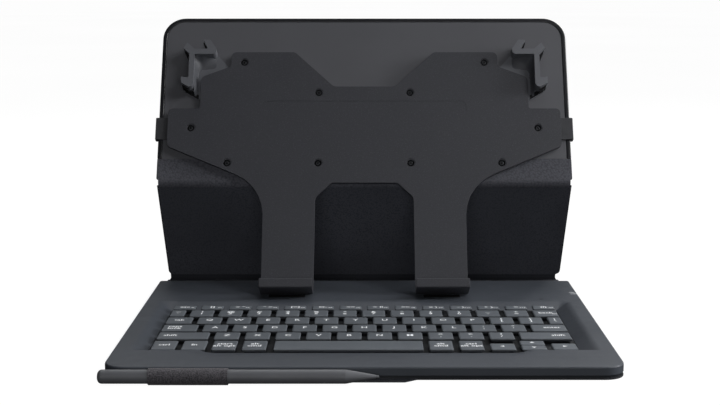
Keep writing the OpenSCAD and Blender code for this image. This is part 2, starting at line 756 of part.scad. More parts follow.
// The bare cloth along the crease stops this short of the panel's skin
cord_gap = 0.3;
cord_r = 0.9 * skin_half;
panel_board_y = crease_gap + 0.8;
module crease_cord() color("#2a2c31") on_panel() translate([-panel_w / 2 + cord_inset, 0, 0])
    rotate([90, 0, 90]) linear_extrude(panel_w - 2 * cord_inset) polygon(rounded([
        [crease_gap - cord_gap, skin_half, 0], [crease_gap - cord_gap, -skin_half, 0],
        [-skin_half, -skin_half, cord_r], [-skin_half, skin_half, cord_r]
    ]));
module panel_skin() color("#2a2c31") panel_layer(0, crease_gap, -skin_half, skin_half);
module panel_board() color("#3a3326") panel_layer(rim_w, panel_board_y, skin_half, panel_board_top);
module panel_lining() color("#44454a") panel_layer(rim_w, rough_strip_l, panel_board_top, liner_top);
module rough_strip() color("#2c2e32") on_panel()
    span([-panel_w / 2 + rim_w, panel_board_y, panel_board_top],
        [panel_w / 2 - rim_w, rough_strip_l, liner_top - 0.1]);
module panel_rim() color("#26272b") on_panel() translate([0, 0, skin_half])
    linear_extrude(liner_top + rim_rise - skin_half) difference() {
        panel_outline(0, crease_gap);
        panel_outline(rim_w, -1);
    }

/* ---- carrier ---- */

leg_inner_x = leg_outer_x - leg_w;
leg_foot_y = -leg_drop + hook_t;
tab_outer_x = panel_w / 2 - 46.6;
tab_inner_x = tab_outer_x - 42.1;
tab_foot_y = carrier_top - 10.2;
notch_x = tab_inner_x - 25.9;
notch_y = carrier_top - 24.6;
shoulder_x = tab_outer_x + 19.6;
shoulder_y = carrier_top - 18;
wing_x = panel_w / 2 - 6.4;
wing_top_y = carrier_top - 40.1;
wing_foot_y = wing_top_y - 26.1;
waist_y = -4.2;
cutout_x = leg_inner_x - 10.8;
cutout_y = -2.2;
// Right half of the carrier's outline, from the middle of its top round to the middle below
carrier_half = [
    [notch_x, notch_y, 5], [tab_inner_x, carrier_top, 4], [tab_outer_x, carrier_top, 3.5],
    [tab_outer_x, tab_foot_y, 3], [shoulder_x, shoulder_y, 4], [shoulder_x, wing_top_y, 1.2],
    [wing_x, wing_top_y, 3], [wing_x, wing_foot_y, 4], [leg_outer_x, waist_y, 30],
    [leg_outer_x, leg_foot_y, 0.6], [leg_inner_x, leg_foot_y, 0.6],
    [leg_inner_x - 0.4, -12, 5], [cutout_x, cutout_y, 3]
];
carrier_points = concat(carrier_half, mirrored(carrier_half));
backing_inset = 2.2;
low_screw_y = wing_foot_y - 11.7;
carrier_screw_spots = [
    [tab_outer_x - 8.7, carrier_top - 7.4], [notch_x + 9.8, notch_y - 4.3],
    [wing_x - 15.1, wing_top_y - 13.6], [wing_x - 39.4, low_screw_y], [notch_x + 9.9, low_screw_y]
];
recess_d = screw_head_d + 0.8;
recess_depth = 1;
shank_play = 0.3;
socket_d = 1.5;
screw_head_h = 0.75;
screw_seat = 0.05;

module at_carrier_screws() both_sides()
    for (spot = carrier_screw_spots) translate([spot[0], spot[1], 0]) children();

module carrier_shell() color("#303033") on_panel() difference() {
    translate([0, 0, backing_top]) linear_extrude(shell_t) polygon(rounded(carrier_points));
    at_carrier_screws() {
        translate([0, 0, backing_top - 1]) cylinder(d = screw_shank_d + shank_play, h = shell_t + 2);
        translate([0, 0, shell_top - recess_depth]) cylinder(d = recess_d, h = 2);
    }
}

module carrier_backing() color("#26262a") on_panel() difference() {
    translate([0, 0, liner_top]) linear_extrude(backing_t)
        polygon(rounded(inset(carrier_points, backing_inset)));
    // threaded holes, a little wider than the screws' cores
    at_carrier_screws() translate([0, 0, liner_top - 1]) cylinder(d = screw_shank_d - 0.1, h = backing_t + 2);
    // channels that the grippers' webs slide in
    both_sides() gripper_channel();
    // pockets of the magnets at the foot of the legs
    both_sides() hook_magnet(magnet_gap);
}

module carrier_screws() color("#5b5d61") on_panel() at_carrier_screws() {
    head_z = shell_top - recess_depth + screw_seat;
    core_z = liner_top + 2 * screw_seat;
    shank_z = backing_top + screw_seat;
    difference() {
        translate([0, 0, head_z]) cylinder(d = screw_head_d, h = screw_head_h);
        translate([0, 0, head_z + 0.4 * screw_head_h]) cylinder(d = socket_d, h = screw_head_h, $fn = 6);
    }
    translate([0, 0, shank_z]) cylinder(d = screw_shank_d, h = head_z - shank_z);
    translate([0, 0, core_z]) cylinder(d = screw_shank_d - 0.2, h = shank_z - core_z);
}

hook_overlap = 0.3;
lip_front = shell_top + tablet_room + hook_t;
hook_low_x = leg_inner_x + hook_overlap;
hook_high_x = leg_outer_x + hook_overlap;
module foot_hook() on_panel() translate([hook_low_x, 0, 0]) rotate([90, 0, 90])
    linear_extrude(hook_high_x - hook_low_x) polygon(rounded([
        [-leg_drop, liner_top, 0.2], [-leg_drop, lip_front, 1.2], [-leg_drop + lip_h, lip_front, 0.6],
        [-leg_drop + lip_h, lip_front - hook_t, 0.6], [leg_foot_y, lip_front - hook_t, 1],
        [leg_foot_y, liner_top, 0.2]
    ]));
module right_foot_hook() color("#303033") foot_hook();
module left_foot_hook() color("#303033") mirror([1, 0, 0]) foot_hook();

pad_t = 0.4;
pad_side = 3;
// The pads start this far above the shell, so that a tablet's back edge can lie flat on it
pad_end = 2.6;
module hook_pads() color("#141416") on_panel() both_sides()
    span([hook_low_x + pad_side, leg_foot_y, shell_top + pad_end],
        [hook_high_x - pad_side, leg_foot_y + pad_t, lip_front - hook_t - pad_end / 2]);

magnet_gap = 0.1;
magnet_edge = 0.3;
// A magnet at the foot of a leg, or its pocket when there is room round it
module hook_magnet(room) {
    foot = leg_foot_y + magnet_edge;
    span([dock_x - magnet_w / 2 - room, foot - room, liner_top + magnet_edge - 4 * room],
        [dock_x + magnet_w / 2 + room, foot + magnet_d + room, backing_top - magnet_edge + 4 * room]);
}
module hook_magnets() color("#a3a7ac") on_panel() both_sides() hook_magnet(0);

edge_loop_w = 15.4;
edge_loop_y = (wing_top_y + wing_foot_y - edge_loop_w) / 2;
edge_loop_t = 1.2;
edge_loop_out = 1.9;
edge_loop_play = 0.05;
module edge_loop() on_panel() {
    outer = panel_w / 2 + edge_loop_out;
    low = liner_top + rim_rise;
    end_y = edge_loop_y + edge_loop_w;
    span([wing_x - backing_inset + 1, edge_loop_y, low], [outer, end_y, low + edge_loop_t]);
    span([panel_w / 2 + edge_loop_play, edge_loop_y, -skin_half], [outer, end_y, low]);
}
module right_edge_loop() color("#2e3034") edge_loop();
module left_edge_loop() color("#2e3034") mirror([1, 0, 0]) edge_loop();

/* ---- grippers ---- */

// Inner corner of the right gripper's walls, in the panel's plane
gripper_x = panel_w / 2 - 22.8;
gripper_y = carrier_top - 4;
bar_w = 3.4;
bar_h = 3.8;
side_bar_l = 20.6;
top_bar_l = 12.2;
web_z = liner_top + slide_gap;
web_top = web_z + web_t;
// Middle of the inner end of the sliding web, from the walls' corner
tongue = [-23.2, -26.4];
tongue_half_w = 12.6;
web_flare = 0.165;
web_reach = 25;
web_end = 29.5;
web_chamfer = 1.6;
// Outlines of the hook at the foot of the side bar, of the one at the end of the top bar and
// of the arm that points out to the corner, as [x, y, radius] from the walls' corner
side_hook = [
    [0, -17, 0], [0, -23.2, 3], [3.4, -23.2, 0.5], [8.1, -20.3, 0.4], [8.2, -15.8, 0.4],
    [6.6, -16.6, 0.6], [2, -16.6, 0]
];
top_hook = [
    [-8.3, 0, 0], [-14.3, 0, 2.4], [-14.3, 4.1, 1], [-10.2, 10.2, 0.6], [-5.4, 10.2, 0.3], [-8.3, 4.6, 0]
];
corner_arm = [[0.2, 3.8, 0], [5, 8.2, 0], [7.4, 4.2, 0], [3.4, 0.3, 0], [1, 1, 0]];
channel_play = 0.8;
// Length of a band when the gripper is drawn in, and the room that it has behind it
band_l = 14 + gripper_travel;
band_w = 5;
band_t = 1;
band_room = 1;

// A frame at the tongue, with x along the slide and y across it
module along_slide() translate([gripper_x + tongue[0], gripper_y + tongue[1]])
    rotate(gripper_slide_angle) children();

module gripper_channel() {
    start = -channel_play;
    end = web_end + gripper_travel;
    half_start = tongue_half_w + channel_play;
    half_end = half_start + web_flare * end;
    half_band = band_w / 2 + band_room;
    band_end = -band_l - 3 * band_room;
    translate([0, 0, liner_top - 1]) linear_extrude(backing_t + 2) along_slide() polygon([
        [band_end, -half_band], [start, -half_band], [start, -half_start], [end, -half_end],
        [end, half_end], [start, half_start], [start, half_band], [band_end, half_band]
    ]);
}

module web_outline() {
    half_reach = tongue_half_w + web_flare * web_reach;
    along_slide() polygon([
        [0, -tongue_half_w], [web_reach, -half_reach], [web_end, -half_reach + web_chamfer],
        [web_end, tongue_half_w / 2], [web_reach + 2, half_reach], [0, tongue_half_w]
    ]);
}

module wall_outline() {
    // the bar along the tablet's side and the bar along its top
    translate([0, -side_bar_l]) square([bar_w, side_bar_l + bar_h]);
    translate([-top_bar_l, 0]) square([top_bar_l + bar_w, bar_h]);
    for (outline = [side_hook, top_hook, corner_arm]) polygon(rounded(outline));
}

module gripper() on_panel() {
    translate([0, 0, web_z]) linear_extrude(web_t) difference() {
        web_outline();
        // the web ends at the outer faces of the two bars
        translate([gripper_x - top_bar_l - 2, gripper_y + bar_h]) square(web_reach * 2);
        translate([gripper_x + bar_w, gripper_y - side_bar_l + 4]) square(web_reach * 2);
    }
    translate([gripper_x, gripper_y, web_top]) linear_extrude(gripper_wall_h) wall_outline();
}
module right_gripper() color("#47484c") gripper();
module left_gripper() color("#47484c") mirror([1, 0, 0]) gripper();

module gripper_bands() color("#151517") on_panel() both_sides()
    translate([0, 0, liner_top + (backing_t - band_t) / 2]) linear_extrude(band_t) along_slide()
        translate([-band_l - slide_gap, -band_w / 2]) square([band_l, band_w]);

bottom_cover();
spine_strip();
bottom_case();
top_case();
support_plate();
dome_sheet();
scissor_links();
circuit_board();
battery_bay();
dock_magnets();
dock_strips();
case_screws();
status_light();
stylus_loop();
function_keys();
number_keys();
backspace_key();
tab_key();
upper_letter_keys();
caps_lock_key();
home_letter_keys();
enter_key();
left_shift_key();
lower_letter_keys();
right_shift_key();
modifier_keys();
space_bar();
arrow_keys();
power_switch();
battery_tray();
coin_cells();
fold_band();
flap_skin();
flap_board();
flap_lining();
crease_cord();
panel_skin();
panel_board();
panel_lining();
rough_strip();
panel_rim();
carrier_backing();
carrier_shell();
carrier_screws();
left_foot_hook();
right_foot_hook();
hook_pads();
hook_magnets();
left_edge_loop();
right_edge_loop();
gripper_bands();
left_gripper();
right_gripper();
stylus_barrel();
stylus_tip();
stylus_cap();
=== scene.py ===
"""The looks of a tablet keyboard case that stands open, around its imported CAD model.

Every piece is modelled flat in its own plane, in millimetres, and then put where the model has it.
"""

import json
import logging
import math
from collections.abc import Callable, Iterable, Sequence
from dataclasses import dataclass, field
from enum import Enum

import bpy
from mathutils import Euler, Matrix, Vector

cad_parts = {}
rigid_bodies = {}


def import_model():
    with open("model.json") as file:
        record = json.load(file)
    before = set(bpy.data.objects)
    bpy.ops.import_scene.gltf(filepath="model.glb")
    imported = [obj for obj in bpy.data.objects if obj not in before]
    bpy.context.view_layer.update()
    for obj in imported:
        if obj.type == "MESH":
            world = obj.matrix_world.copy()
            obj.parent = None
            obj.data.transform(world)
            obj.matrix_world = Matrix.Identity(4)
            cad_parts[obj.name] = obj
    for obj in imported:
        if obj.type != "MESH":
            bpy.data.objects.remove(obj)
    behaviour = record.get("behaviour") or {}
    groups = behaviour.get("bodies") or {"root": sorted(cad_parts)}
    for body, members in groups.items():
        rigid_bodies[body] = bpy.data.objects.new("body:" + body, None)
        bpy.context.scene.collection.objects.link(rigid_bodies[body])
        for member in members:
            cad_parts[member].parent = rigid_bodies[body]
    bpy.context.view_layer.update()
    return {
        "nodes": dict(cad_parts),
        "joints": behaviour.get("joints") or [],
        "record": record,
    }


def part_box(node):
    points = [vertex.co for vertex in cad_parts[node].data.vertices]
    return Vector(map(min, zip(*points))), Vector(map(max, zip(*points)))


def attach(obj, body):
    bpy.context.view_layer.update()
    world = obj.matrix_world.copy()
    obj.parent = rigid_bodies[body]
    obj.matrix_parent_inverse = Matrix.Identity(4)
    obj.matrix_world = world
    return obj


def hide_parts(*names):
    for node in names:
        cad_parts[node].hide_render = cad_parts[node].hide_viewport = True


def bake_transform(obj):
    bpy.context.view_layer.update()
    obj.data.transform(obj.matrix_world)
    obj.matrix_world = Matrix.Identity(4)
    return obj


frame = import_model()
LOG = logging.getLogger("keyboard_case")

MM = 0.001
EPS = 0.02

Colour = tuple[float, float, float]
Triple = tuple[float, float, float]
Pair = tuple[float, float]


# ---------------------------------------------------------------- shader tools


def linear(red: int, green: int, blue: int) -> Colour:
    """A colour given as 0 to 255 on a screen, as the linear values a shader takes."""
    return tuple(((c / 255 + 0.055) / 1.055) ** 2.4 if c > 10 else c / 3295 for c in (red, green, blue))


class Value:
    """A shader socket that takes part in Python expressions."""

    def __init__(self, recipe: "Recipe", socket: bpy.types.NodeSocket) -> None:
        """Wraps the socket of a node in recipe's tree."""
        self.recipe = recipe
        self.socket = socket

    def maths(self, operation: str, *others: "Value | float", swapped: bool = False) -> "Value":
        """A Math node of this value and the others.

        Args:
            operation: the Math node's operation.
            others: the further operands.
            swapped: True where this value is the second operand.

        Returns:
            The node's result.
        """
        operands = [*others, self] if swapped else [self, *others]
        node = self.recipe.node("ShaderNodeMath", {"operation": operation}, dict(enumerate(operands)))
        return Value(self.recipe, node.outputs[0])

    def __add__(self, other: "Value | float") -> "Value":
        """The sum."""
        return self.maths("ADD", other)

    def __radd__(self, other: float) -> "Value":
        """The sum."""
        return self.maths("ADD", other)

    def __sub__(self, other: "Value | float") -> "Value":
        """This value less the other."""
        return self.maths("SUBTRACT", other)

    def __rsub__(self, other: float) -> "Value":
        """The other less this value."""
        return self.maths("SUBTRACT", other, swapped=True)

    def __mul__(self, other: "Value | float") -> "Value":
        """The product."""
        return self.maths("MULTIPLY", other)

    def __rmul__(self, other: float) -> "Value":
        """The product."""
        return self.maths("MULTIPLY", other)

    def band(self, low: float, high: float) -> "Value":
        """0 below low, 1 above high and a smooth step between them.

        Args:
            low: where the step starts.
            high: where it ends.

        Returns:
            The step.
        """
        settings = {"interpolation_type": "SMOOTHSTEP"}
        inputs = {"Value": self, "From Min": low, "From Max": high}
        node = self.recipe.node("ShaderNodeMapRange", settings, inputs)
        return Value(self.recipe, node.outputs["Result"])


class Recipe:
    """The node tree of one material while it is written."""

    def __init__(self, name: str) -> None:
        """Makes an empty material with its shader and output.

        Args:
            name: the material's name.
        """
        self.material = bpy.data.materials.new(name)
        self.material.use_nodes = True
        self.tree = self.material.node_tree
        self.tree.nodes.clear()
        self.shader = self.tree.nodes.new("ShaderNodeBsdfPrincipled")
        output = self.tree.nodes.new("ShaderNodeOutputMaterial")
        self.tree.links.new(self.shader.outputs[0], output.inputs["Surface"])

    def node(self, kind: str, settings: dict, inputs: dict) -> bpy.types.Node:
        """Adds a node.

        Args:
            kind: the node's type.
            settings: its properties; "stops" holds a ramp's places and colours.
            inputs: values or links of its sockets, by name or number.

        Returns:
            The node.
        """
        node = self.tree.nodes.new(kind)
        for key, setting in settings.items():
            if key == "stops":
                ramp = node.color_ramp
                while len(ramp.elements) < len(setting):
                    ramp.elements.new(0.5)
                for element, (place, colour) in zip(ramp.elements, setting):
                    element.position = place
                    element.color = (*colour, 1)
            else:
                setattr(node, key, setting)
        for key, given in inputs.items():
            self.feed(node.inputs[key], given)
        return node

    def feed(self, socket: bpy.types.NodeSocket, given: "Value | float | Sequence[float]") -> None:
        """Links a socket to a value, or sets it to a number or colour.

        Args:
            socket: the input.
            given: a value to link, or a number or colour to set.
        """
        if isinstance(given, Value):
            self.tree.links.new(given.socket, socket)
        elif socket.type == "RGBA" and not isinstance(given, (int, float)):
            socket.default_value = (*given[:3], 1)
        else:
            socket.default_value = given

    def place(self, turn: Triple = (0, 0, 0), scale: Triple = (1, 1, 1)) -> Value:
        """Object coordinates, turned and then scaled to the pattern's own size.

        Args:
            turn: angles about X, Y and Z in degrees.
            scale: how many pattern units there are in a metre, along each axis.

        Returns:
            The coordinates.
        """
        coordinates = self.node("ShaderNodeTexCoord", {}, {}).outputs["Object"]
        angles = tuple(math.radians(a) for a in turn)
        inputs = {"Vector": Value(self, coordinates), "Rotation": angles, "Scale": scale}
        mapped = self.node("ShaderNodeMapping", {}, inputs)
        return Value(self, mapped.outputs["Vector"])

    def noise(self, size: float, detail: float = 2, spread: float = 0.5,
              where: Value | None = None) -> Value:
        """Soft noise from 0 to 1.

        Args:
            size: the width of its blots in millimetres.
            detail: how many finer octaves it has.
            spread: how strong they are.
            where: the coordinates, or None for plain object coordinates.

        Returns:
            The noise.
        """
        where = where or self.place()
        inputs = {"Vector": where, "Scale": 1 / (size * MM), "Detail": detail, "Roughness": spread}
        return Value(self, self.node("ShaderNodeTexNoise", {}, inputs).outputs["Fac"])

    def cells(self, size: float, where: Value | None = None) -> Value:
        """The distance to the nearest of scattered points, as in leather's pebbles.

        Args:
            size: how far apart the points are in millimetres.
            where: the coordinates, or None for plain object coordinates.

        Returns:
            The distance.
        """
        where = where or self.place()
        inputs = {"Vector": where, "Scale": 1 / (size * MM)}
        return Value(self, self.node("ShaderNodeTexVoronoi", {}, inputs).outputs["Distance"])

    def stripes(self, axis: str, pitch: float, where: Value | None = None) -> Value:
        """Even ridges along an axis, from 0 to 1.

        Args:
            axis: "X", "Y" or "Z", across which they repeat.
            pitch: the distance from one to the next in millimetres.
            where: the coordinates, or None for plain object coordinates.

        Returns:
            The ridges' height.
        """
        where = where or self.place()
        settings = {"wave_type": "BANDS", "bands_direction": axis}
        inputs = {"Vector": where, "Scale": 2 * math.pi / (20 * pitch * MM), "Distortion": 0.0}
        return Value(self, self.node("ShaderNodeTexWave", settings, inputs).outputs["Fac"])

    def blend(self, low: "Value | Colour", high: "Value | Colour", amount: "Value | float") -> Value:
        """A colour between two, by amount."""
        node = self.node("ShaderNodeMix", {"data_type": "RGBA"}, {0: amount, 6: low, 7: high})
        return Value(self, node.outputs[2])

    def relief(self, height: Value, depth: float, strength: float = 1.0) -> None:
        """Bumps the surface by a height from 0 to 1 that stands for depth millimetres.

        Args:
            height: the height from 0 to 1.
            depth: how many millimetres a height of 1 stands for.
            strength: how much of the bump is shown.
        """
        inputs = {"Height": height, "Distance": depth * MM, "Strength": strength}
        bump = self.node("ShaderNodeBump", {}, inputs)
        self.tree.links.new(bump.outputs["Normal"], self.shader.inputs["Normal"])

    def finish(self, **inputs: "Value | float | Sequence[float]") -> bpy.types.Material:
        """Sets the shader's sockets, given with _ for a space, and returns the material.

        Args:
            inputs: the value, number or colour of each socket.

        Returns:
            The material.
        """
        for name, given in inputs.items():
            self.feed(self.shader.inputs[name.replace("_", " ")], given)
        return self.material


def shade(colour: Colour, share: float) -> Colour:
    """The colour made darker or lighter by a share."""
    return tuple(min(1.0, c * share) for c in colour)


# ---------------------------------------------------------------- finishes


@dataclass(frozen=True)
class Finish:
    """A surface's name and colour; each kind of finish paints its own detail."""

    name: str
    colour: Colour

    def material(self) -> bpy.types.Material:
        """The finish as a material, made once."""
        name = f"{self.name}_finish"
        return bpy.data.materials.get(name) or self.paint(Recipe(name))

    def paint(self, recipe: Recipe) -> bpy.types.Material:
        """Writes the material's nodes."""
        raise NotImplementedError


@dataclass(frozen=True)
class MouldedPlastic(Finish):
    """Spark-eroded plastic: a fine even grain, faint clouds in the colour and rubbed glossier spots."""

    roughness: float = 0.5
    grain: float = 0.35
    grain_depth: float = 0.012
    clouds: float = 0.05
    gloss: float = 0.5
    speckle: float = 0.0

    def paint(self, recipe: Recipe) -> bpy.types.Material:
        """Writes the material's nodes.

        Args:
            recipe: the empty material's recipe.

        Returns:
            The material.
        """
        cloud = recipe.noise(38, 3)
        pores = recipe.noise(self.grain, 2, 0.6)
        fleck = recipe.noise(0.55, 1).band(0.56, 0.7)
        low = shade(self.colour, 1 - self.clouds)
        high = shade(self.colour, 1 + self.clouds)
        base = recipe.blend(low, high, cloud.band(0.35, 0.65))
        if self.speckle:
            base = recipe.blend(base, shade(self.colour, 1 + self.speckle), fleck)
        rubbed = recipe.noise(14, 2).band(0.45, 0.7)
        recipe.relief(pores, self.grain_depth)
        return recipe.finish(
            Base_Color=base,
            Roughness=self.roughness - 0.05 * rubbed + 0.08 * pores,
            Specular_IOR_Level=self.gloss,
        )


@dataclass(frozen=True)
class CoatedSkin(Finish):
    """Coated cloth with a fine pebbled grain, dull in its valleys."""

    roughness: float = 0.55
    pebble: float = 0.6
    depth: float = 0.03
    gloss: float = 0.4

    def paint(self, recipe: Recipe) -> bpy.types.Material:
        """Writes the material's nodes.

        Args:
            recipe: the empty material's recipe.

        Returns:
            The material.
        """
        pebbles = recipe.cells(self.pebble)
        wrinkles = recipe.noise(2.4, 3, 0.6)
        cloud = recipe.noise(55, 2).band(0.35, 0.65)
        base = recipe.blend(shade(self.colour, 0.9), shade(self.colour, 1.1), cloud)
        base = recipe.blend(base, shade(self.colour, 0.72), pebbles.band(0.45, 0.8))
        recipe.relief(1 - pebbles + 0.4 * wrinkles, self.depth)
        return recipe.finish(
            Base_Color=base,
            Roughness=self.roughness + 0.15 * pebbles.band(0.2, 0.8),
            Specular_IOR_Level=self.gloss,
        )


@dataclass(frozen=True)
class WovenCloth(Finish):
    """A plain weave: warp and weft threads crossing, with uneven yarn."""

    pitch: float = 0.55
    turn: float = 0.0
    depth: float = 0.05
    roughness: float = 0.85

    def paint(self, recipe: Recipe) -> bpy.types.Material:
        """Writes the material's nodes.

        Args:
            recipe: the empty material's recipe.

        Returns:
            The material.
        """
        where = recipe.place(turn=(self.turn, 0, 0))
        warp = recipe.stripes("X", self.pitch, where)
        weft = recipe.stripes("Y", self.pitch, where)
        crossed = recipe.stripes("X", 2 * self.pitch, where).band(0.4, 0.6)
        threads = warp * crossed + weft * (1 - crossed)
        slub = recipe.noise(1.8, 2, 0.6, where)
        base = recipe.blend(shade(self.colour, 0.55), shade(self.colour, 1.25), threads * (0.6 + 0.5 * slub))
        recipe.relief(threads + 0.3 * slub, self.depth)
        return recipe.finish(
            Base_Color=base,
            Roughness=self.roughness - 0.1 * threads,
            Specular_IOR_Level=0.25,
            Sheen_Weight=0.08,
        )


@dataclass(frozen=True)
class Felt(Finish):
    """Matted felt or fleece: tufts of fibre and dark pits between them."""

    tuft: float = 1.1
    depth: float = 0.35

    def paint(self, recipe: Recipe) -> bpy.types.Material:
        """Writes the material's nodes.

        Args:
            recipe: the empty material's recipe.

        Returns:
            The material.
        """
        tufts = recipe.noise(self.tuft, 4, 0.7)
        fibres = recipe.noise(0.28, 2, 0.8)
        mix = tufts.band(0.35, 0.68)
        base = recipe.blend(shade(self.colour, 0.45), shade(self.colour, 1.55), mix * (0.55 + 0.6 * fibres))
        recipe.relief(tufts + 0.35 * fibres, self.depth)
        return recipe.finish(
            Base_Color=base, Roughness=0.88 + 0.1 * fibres, Specular_IOR_Level=0.2, Sheen_Weight=0.15
        )


@dataclass(frozen=True)
class Ribbed(Finish):
    """Woven elastic or ribbed rubber with ribs across one axis."""

    pitch: float = 1.1
    axis: str = "Y"
    turn: float = 0.0
    depth: float = 0.15
    roughness: float = 0.7

    def paint(self, recipe: Recipe) -> bpy.types.Material:
        """Writes the material's nodes.

        Args:
            recipe: the empty material's recipe.

        Returns:
            The material.
        """
        where = recipe.place(turn=(self.turn, 0, 0))
        ribs = recipe.stripes(self.axis, self.pitch, where)
        fuzz = recipe.noise(0.5, 2, 0.7)
        base = recipe.blend(shade(self.colour, 0.4), shade(self.colour, 1.3), ribs * (0.8 + 0.3 * fuzz))
        recipe.relief(ribs + 0.15 * fuzz, self.depth)
        return recipe.finish(Base_Color=base, Roughness=self.roughness + 0.1 * fuzz, Specular_IOR_Level=0.35)


@dataclass(frozen=True)
class Metal(Finish):
    """Turned, plated or rolled metal, or metal under dark paint."""

    roughness: float = 0.35
    metallic: float = 1.0
    brush: float = 0.0

    def paint(self, recipe: Recipe) -> bpy.types.Material:
        """Writes the material's nodes.

        Args:
            recipe: the empty material's recipe.

        Returns:
            The material.
        """
        where = recipe.place(scale=(1, 1 + 12 * self.brush, 1))
        scratches = recipe.noise(0.8, 3, 0.6, where)
        stain = recipe.noise(7, 2).band(0.4, 0.7)
        base = recipe.blend(shade(self.colour, 0.85), shade(self.colour, 1.1), stain)
        recipe.relief(scratches, 0.008)
        return recipe.finish(
            Base_Color=base,
            Metallic=self.metallic,
            Roughness=self.roughness + 0.15 * scratches,
            Specular_IOR_Level=0.5,
        )


@dataclass(frozen=True)
class Ink(Finish):
    """Screen-printed ink, a little uneven where the print is thin, which may be given a painted glow."""

    # How strongly the ink glows: painted light.
    painted_glow: float = 0.0

    def paint(self, recipe: Recipe) -> bpy.types.Material:
        """Writes the material's nodes.

        Args:
            recipe: the empty material's recipe.

        Returns:
            The material.
        """
        thin = recipe.noise(0.7, 2).band(0.3, 0.6)
        base = recipe.blend(shade(self.colour, 0.85), self.colour, thin)
        recipe.relief(thin, 0.004)
        # The emission is painted light that brightens the print.
        return recipe.finish(
            Base_Color=base, Roughness=0.6 + 0.1 * thin, Emission_Color=base, Emission_Strength=self.painted_glow
        )


@dataclass(frozen=True)
class Lens(Finish):
    """A clear or smoked lens over a dark well."""

    def paint(self, recipe: Recipe) -> bpy.types.Material:
        """Writes the material's nodes.

        Args:
            recipe: the empty material's recipe.

        Returns:
            The material.
        """
        haze = recipe.noise(0.6, 2)
        base = recipe.blend(shade(self.colour, 0.8), shade(self.colour, 1.2), haze)
        recipe.relief(haze, 0.003)
        return recipe.finish(Base_Color=base, Roughness=0.3 + 0.1 * haze, Specular_IOR_Level=0.3)


@dataclass(frozen=True)
class Fibreboard(Finish):
    """Pressed board: fibres and flecks."""

    def paint(self, recipe: Recipe) -> bpy.types.Material:
        """Writes the material's nodes.

        Args:
            recipe: the empty material's recipe.

        Returns:
            The material.
        """
        fibres = recipe.noise(1.5, 4, 0.7, recipe.place(scale=(0.3, 1, 1)))
        base = recipe.blend(shade(self.colour, 0.7), shade(self.colour, 1.25), fibres.band(0.3, 0.7))
        recipe.relief(fibres, 0.05)
        return recipe.finish(Base_Color=base, Roughness=0.85 + 0.1 * fibres)


DECK_SLATE = linear(80, 85, 93)
PLATE_BLACK = linear(68, 69, 75)

DECK_PLASTIC = MouldedPlastic("deck_plastic", DECK_SLATE, roughness=0.42, grain=0.4, clouds=0.03)
KEY_PLASTIC = MouldedPlastic("key_plastic", linear(112, 118, 125), roughness=0.42, grain=0.3, clouds=0.02)
# The keys' plastic made dark: painted shade on the sides of the keys.
KEY_SIDE_SHADE = MouldedPlastic("key_skirt", linear(42, 45, 50), roughness=0.5, grain=0.3, clouds=0.02)
# Dark plastic for the dome sheet and the scissor links, made darker still as painted shade in the gaps
# between the keys.
SHADED_WELL_PLASTIC = MouldedPlastic("well_plastic", linear(30, 33, 37), roughness=0.6, gloss=0.3)
CASE_PLASTIC = MouldedPlastic("case_plastic", linear(38, 41, 46), roughness=0.42)
CARRIER_PLASTIC = MouldedPlastic(
    "carrier_plastic", PLATE_BLACK, roughness=0.5, grain=0.5, grain_depth=0.03, clouds=0.0, speckle=0.45
)
GRIPPER_PLASTIC = MouldedPlastic("gripper_plastic", linear(116, 118, 124), roughness=0.38, grain=0.3)
# A darker copy of the gripper plastic: painted shade that keeps the ramps duller than the bars under the
# same lamps.
SHADED_WEB_PLASTIC = MouldedPlastic("web_plastic", linear(84, 86, 92), roughness=0.55, grain=0.3)
STYLUS_PLASTIC = MouldedPlastic("stylus_plastic", linear(116, 118, 123), roughness=0.46, grain=0.25)
SHADED_LINK_PLASTIC = MouldedPlastic("link_plastic", linear(24, 26, 30), roughness=0.6, gloss=0.3)
# Dark rubber for the switch, the dock strips and the hook pads; the same finish paints shade as the pads
# under the grippers and the discs in the screw recesses.
RUBBER_AND_SHADE = MouldedPlastic("soft_rubber", linear(24, 24, 26), roughness=0.8, grain=0.6, gloss=0.25)
RIM_RUBBER = MouldedPlastic("rim_rubber", linear(40, 41, 45), roughness=0.3, grain=0.4, gloss=0.55)
PANEL_LINING = MouldedPlastic("panel_lining", linear(101, 102, 107), roughness=0.42, grain=0.5, clouds=0.02)
SKIN = CoatedSkin("coated_skin", linear(42, 44, 50))
FLAP_LINING = CoatedSkin("flap_lining", linear(82, 84, 92), roughness=0.5, pebble=0.9)
ROUGH_SKIN = CoatedSkin("rough_skin", linear(97, 98, 106), roughness=0.75, pebble=1.3, depth=0.12)
COVER_CLOTH = WovenCloth("cover_cloth", linear(64, 66, 73))
ELASTIC = Ribbed("elastic_loop", linear(84, 85, 89), pitch=0.7, turn=-62.9)
BAND = Ribbed("elastic_band", linear(26, 26, 28), pitch=0.8, axis="X")
LOOP_FELT = Felt("loop_felt", linear(104, 102, 107), tuft=0.7)
SCREW_METAL = Metal("screw_metal", linear(88, 90, 94), roughness=0.42)
STEEL = Metal("support_steel", linear(120, 122, 126), roughness=0.4, brush=1.0)
NICKEL = Metal("magnet_nickel", linear(190, 192, 196), roughness=0.22)
CELL_STEEL = Metal("cell_steel", linear(198, 199, 202), roughness=0.25, brush=0.6)
CIRCUIT = MouldedPlastic("circuit_mask", linear(24, 82, 50), roughness=0.3, grain=0.5, clouds=0.2)
BOARD = Fibreboard("core_board", linear(92, 78, 58))
# The legends and the switch marks glow faintly: painted light.
LEGEND_INK = Ink("legend_ink", linear(220, 222, 225), painted_glow=0.5)
LENS = Lens("light_lens", linear(14, 15, 17))


# ---------------------------------------------------------------- modelling tools


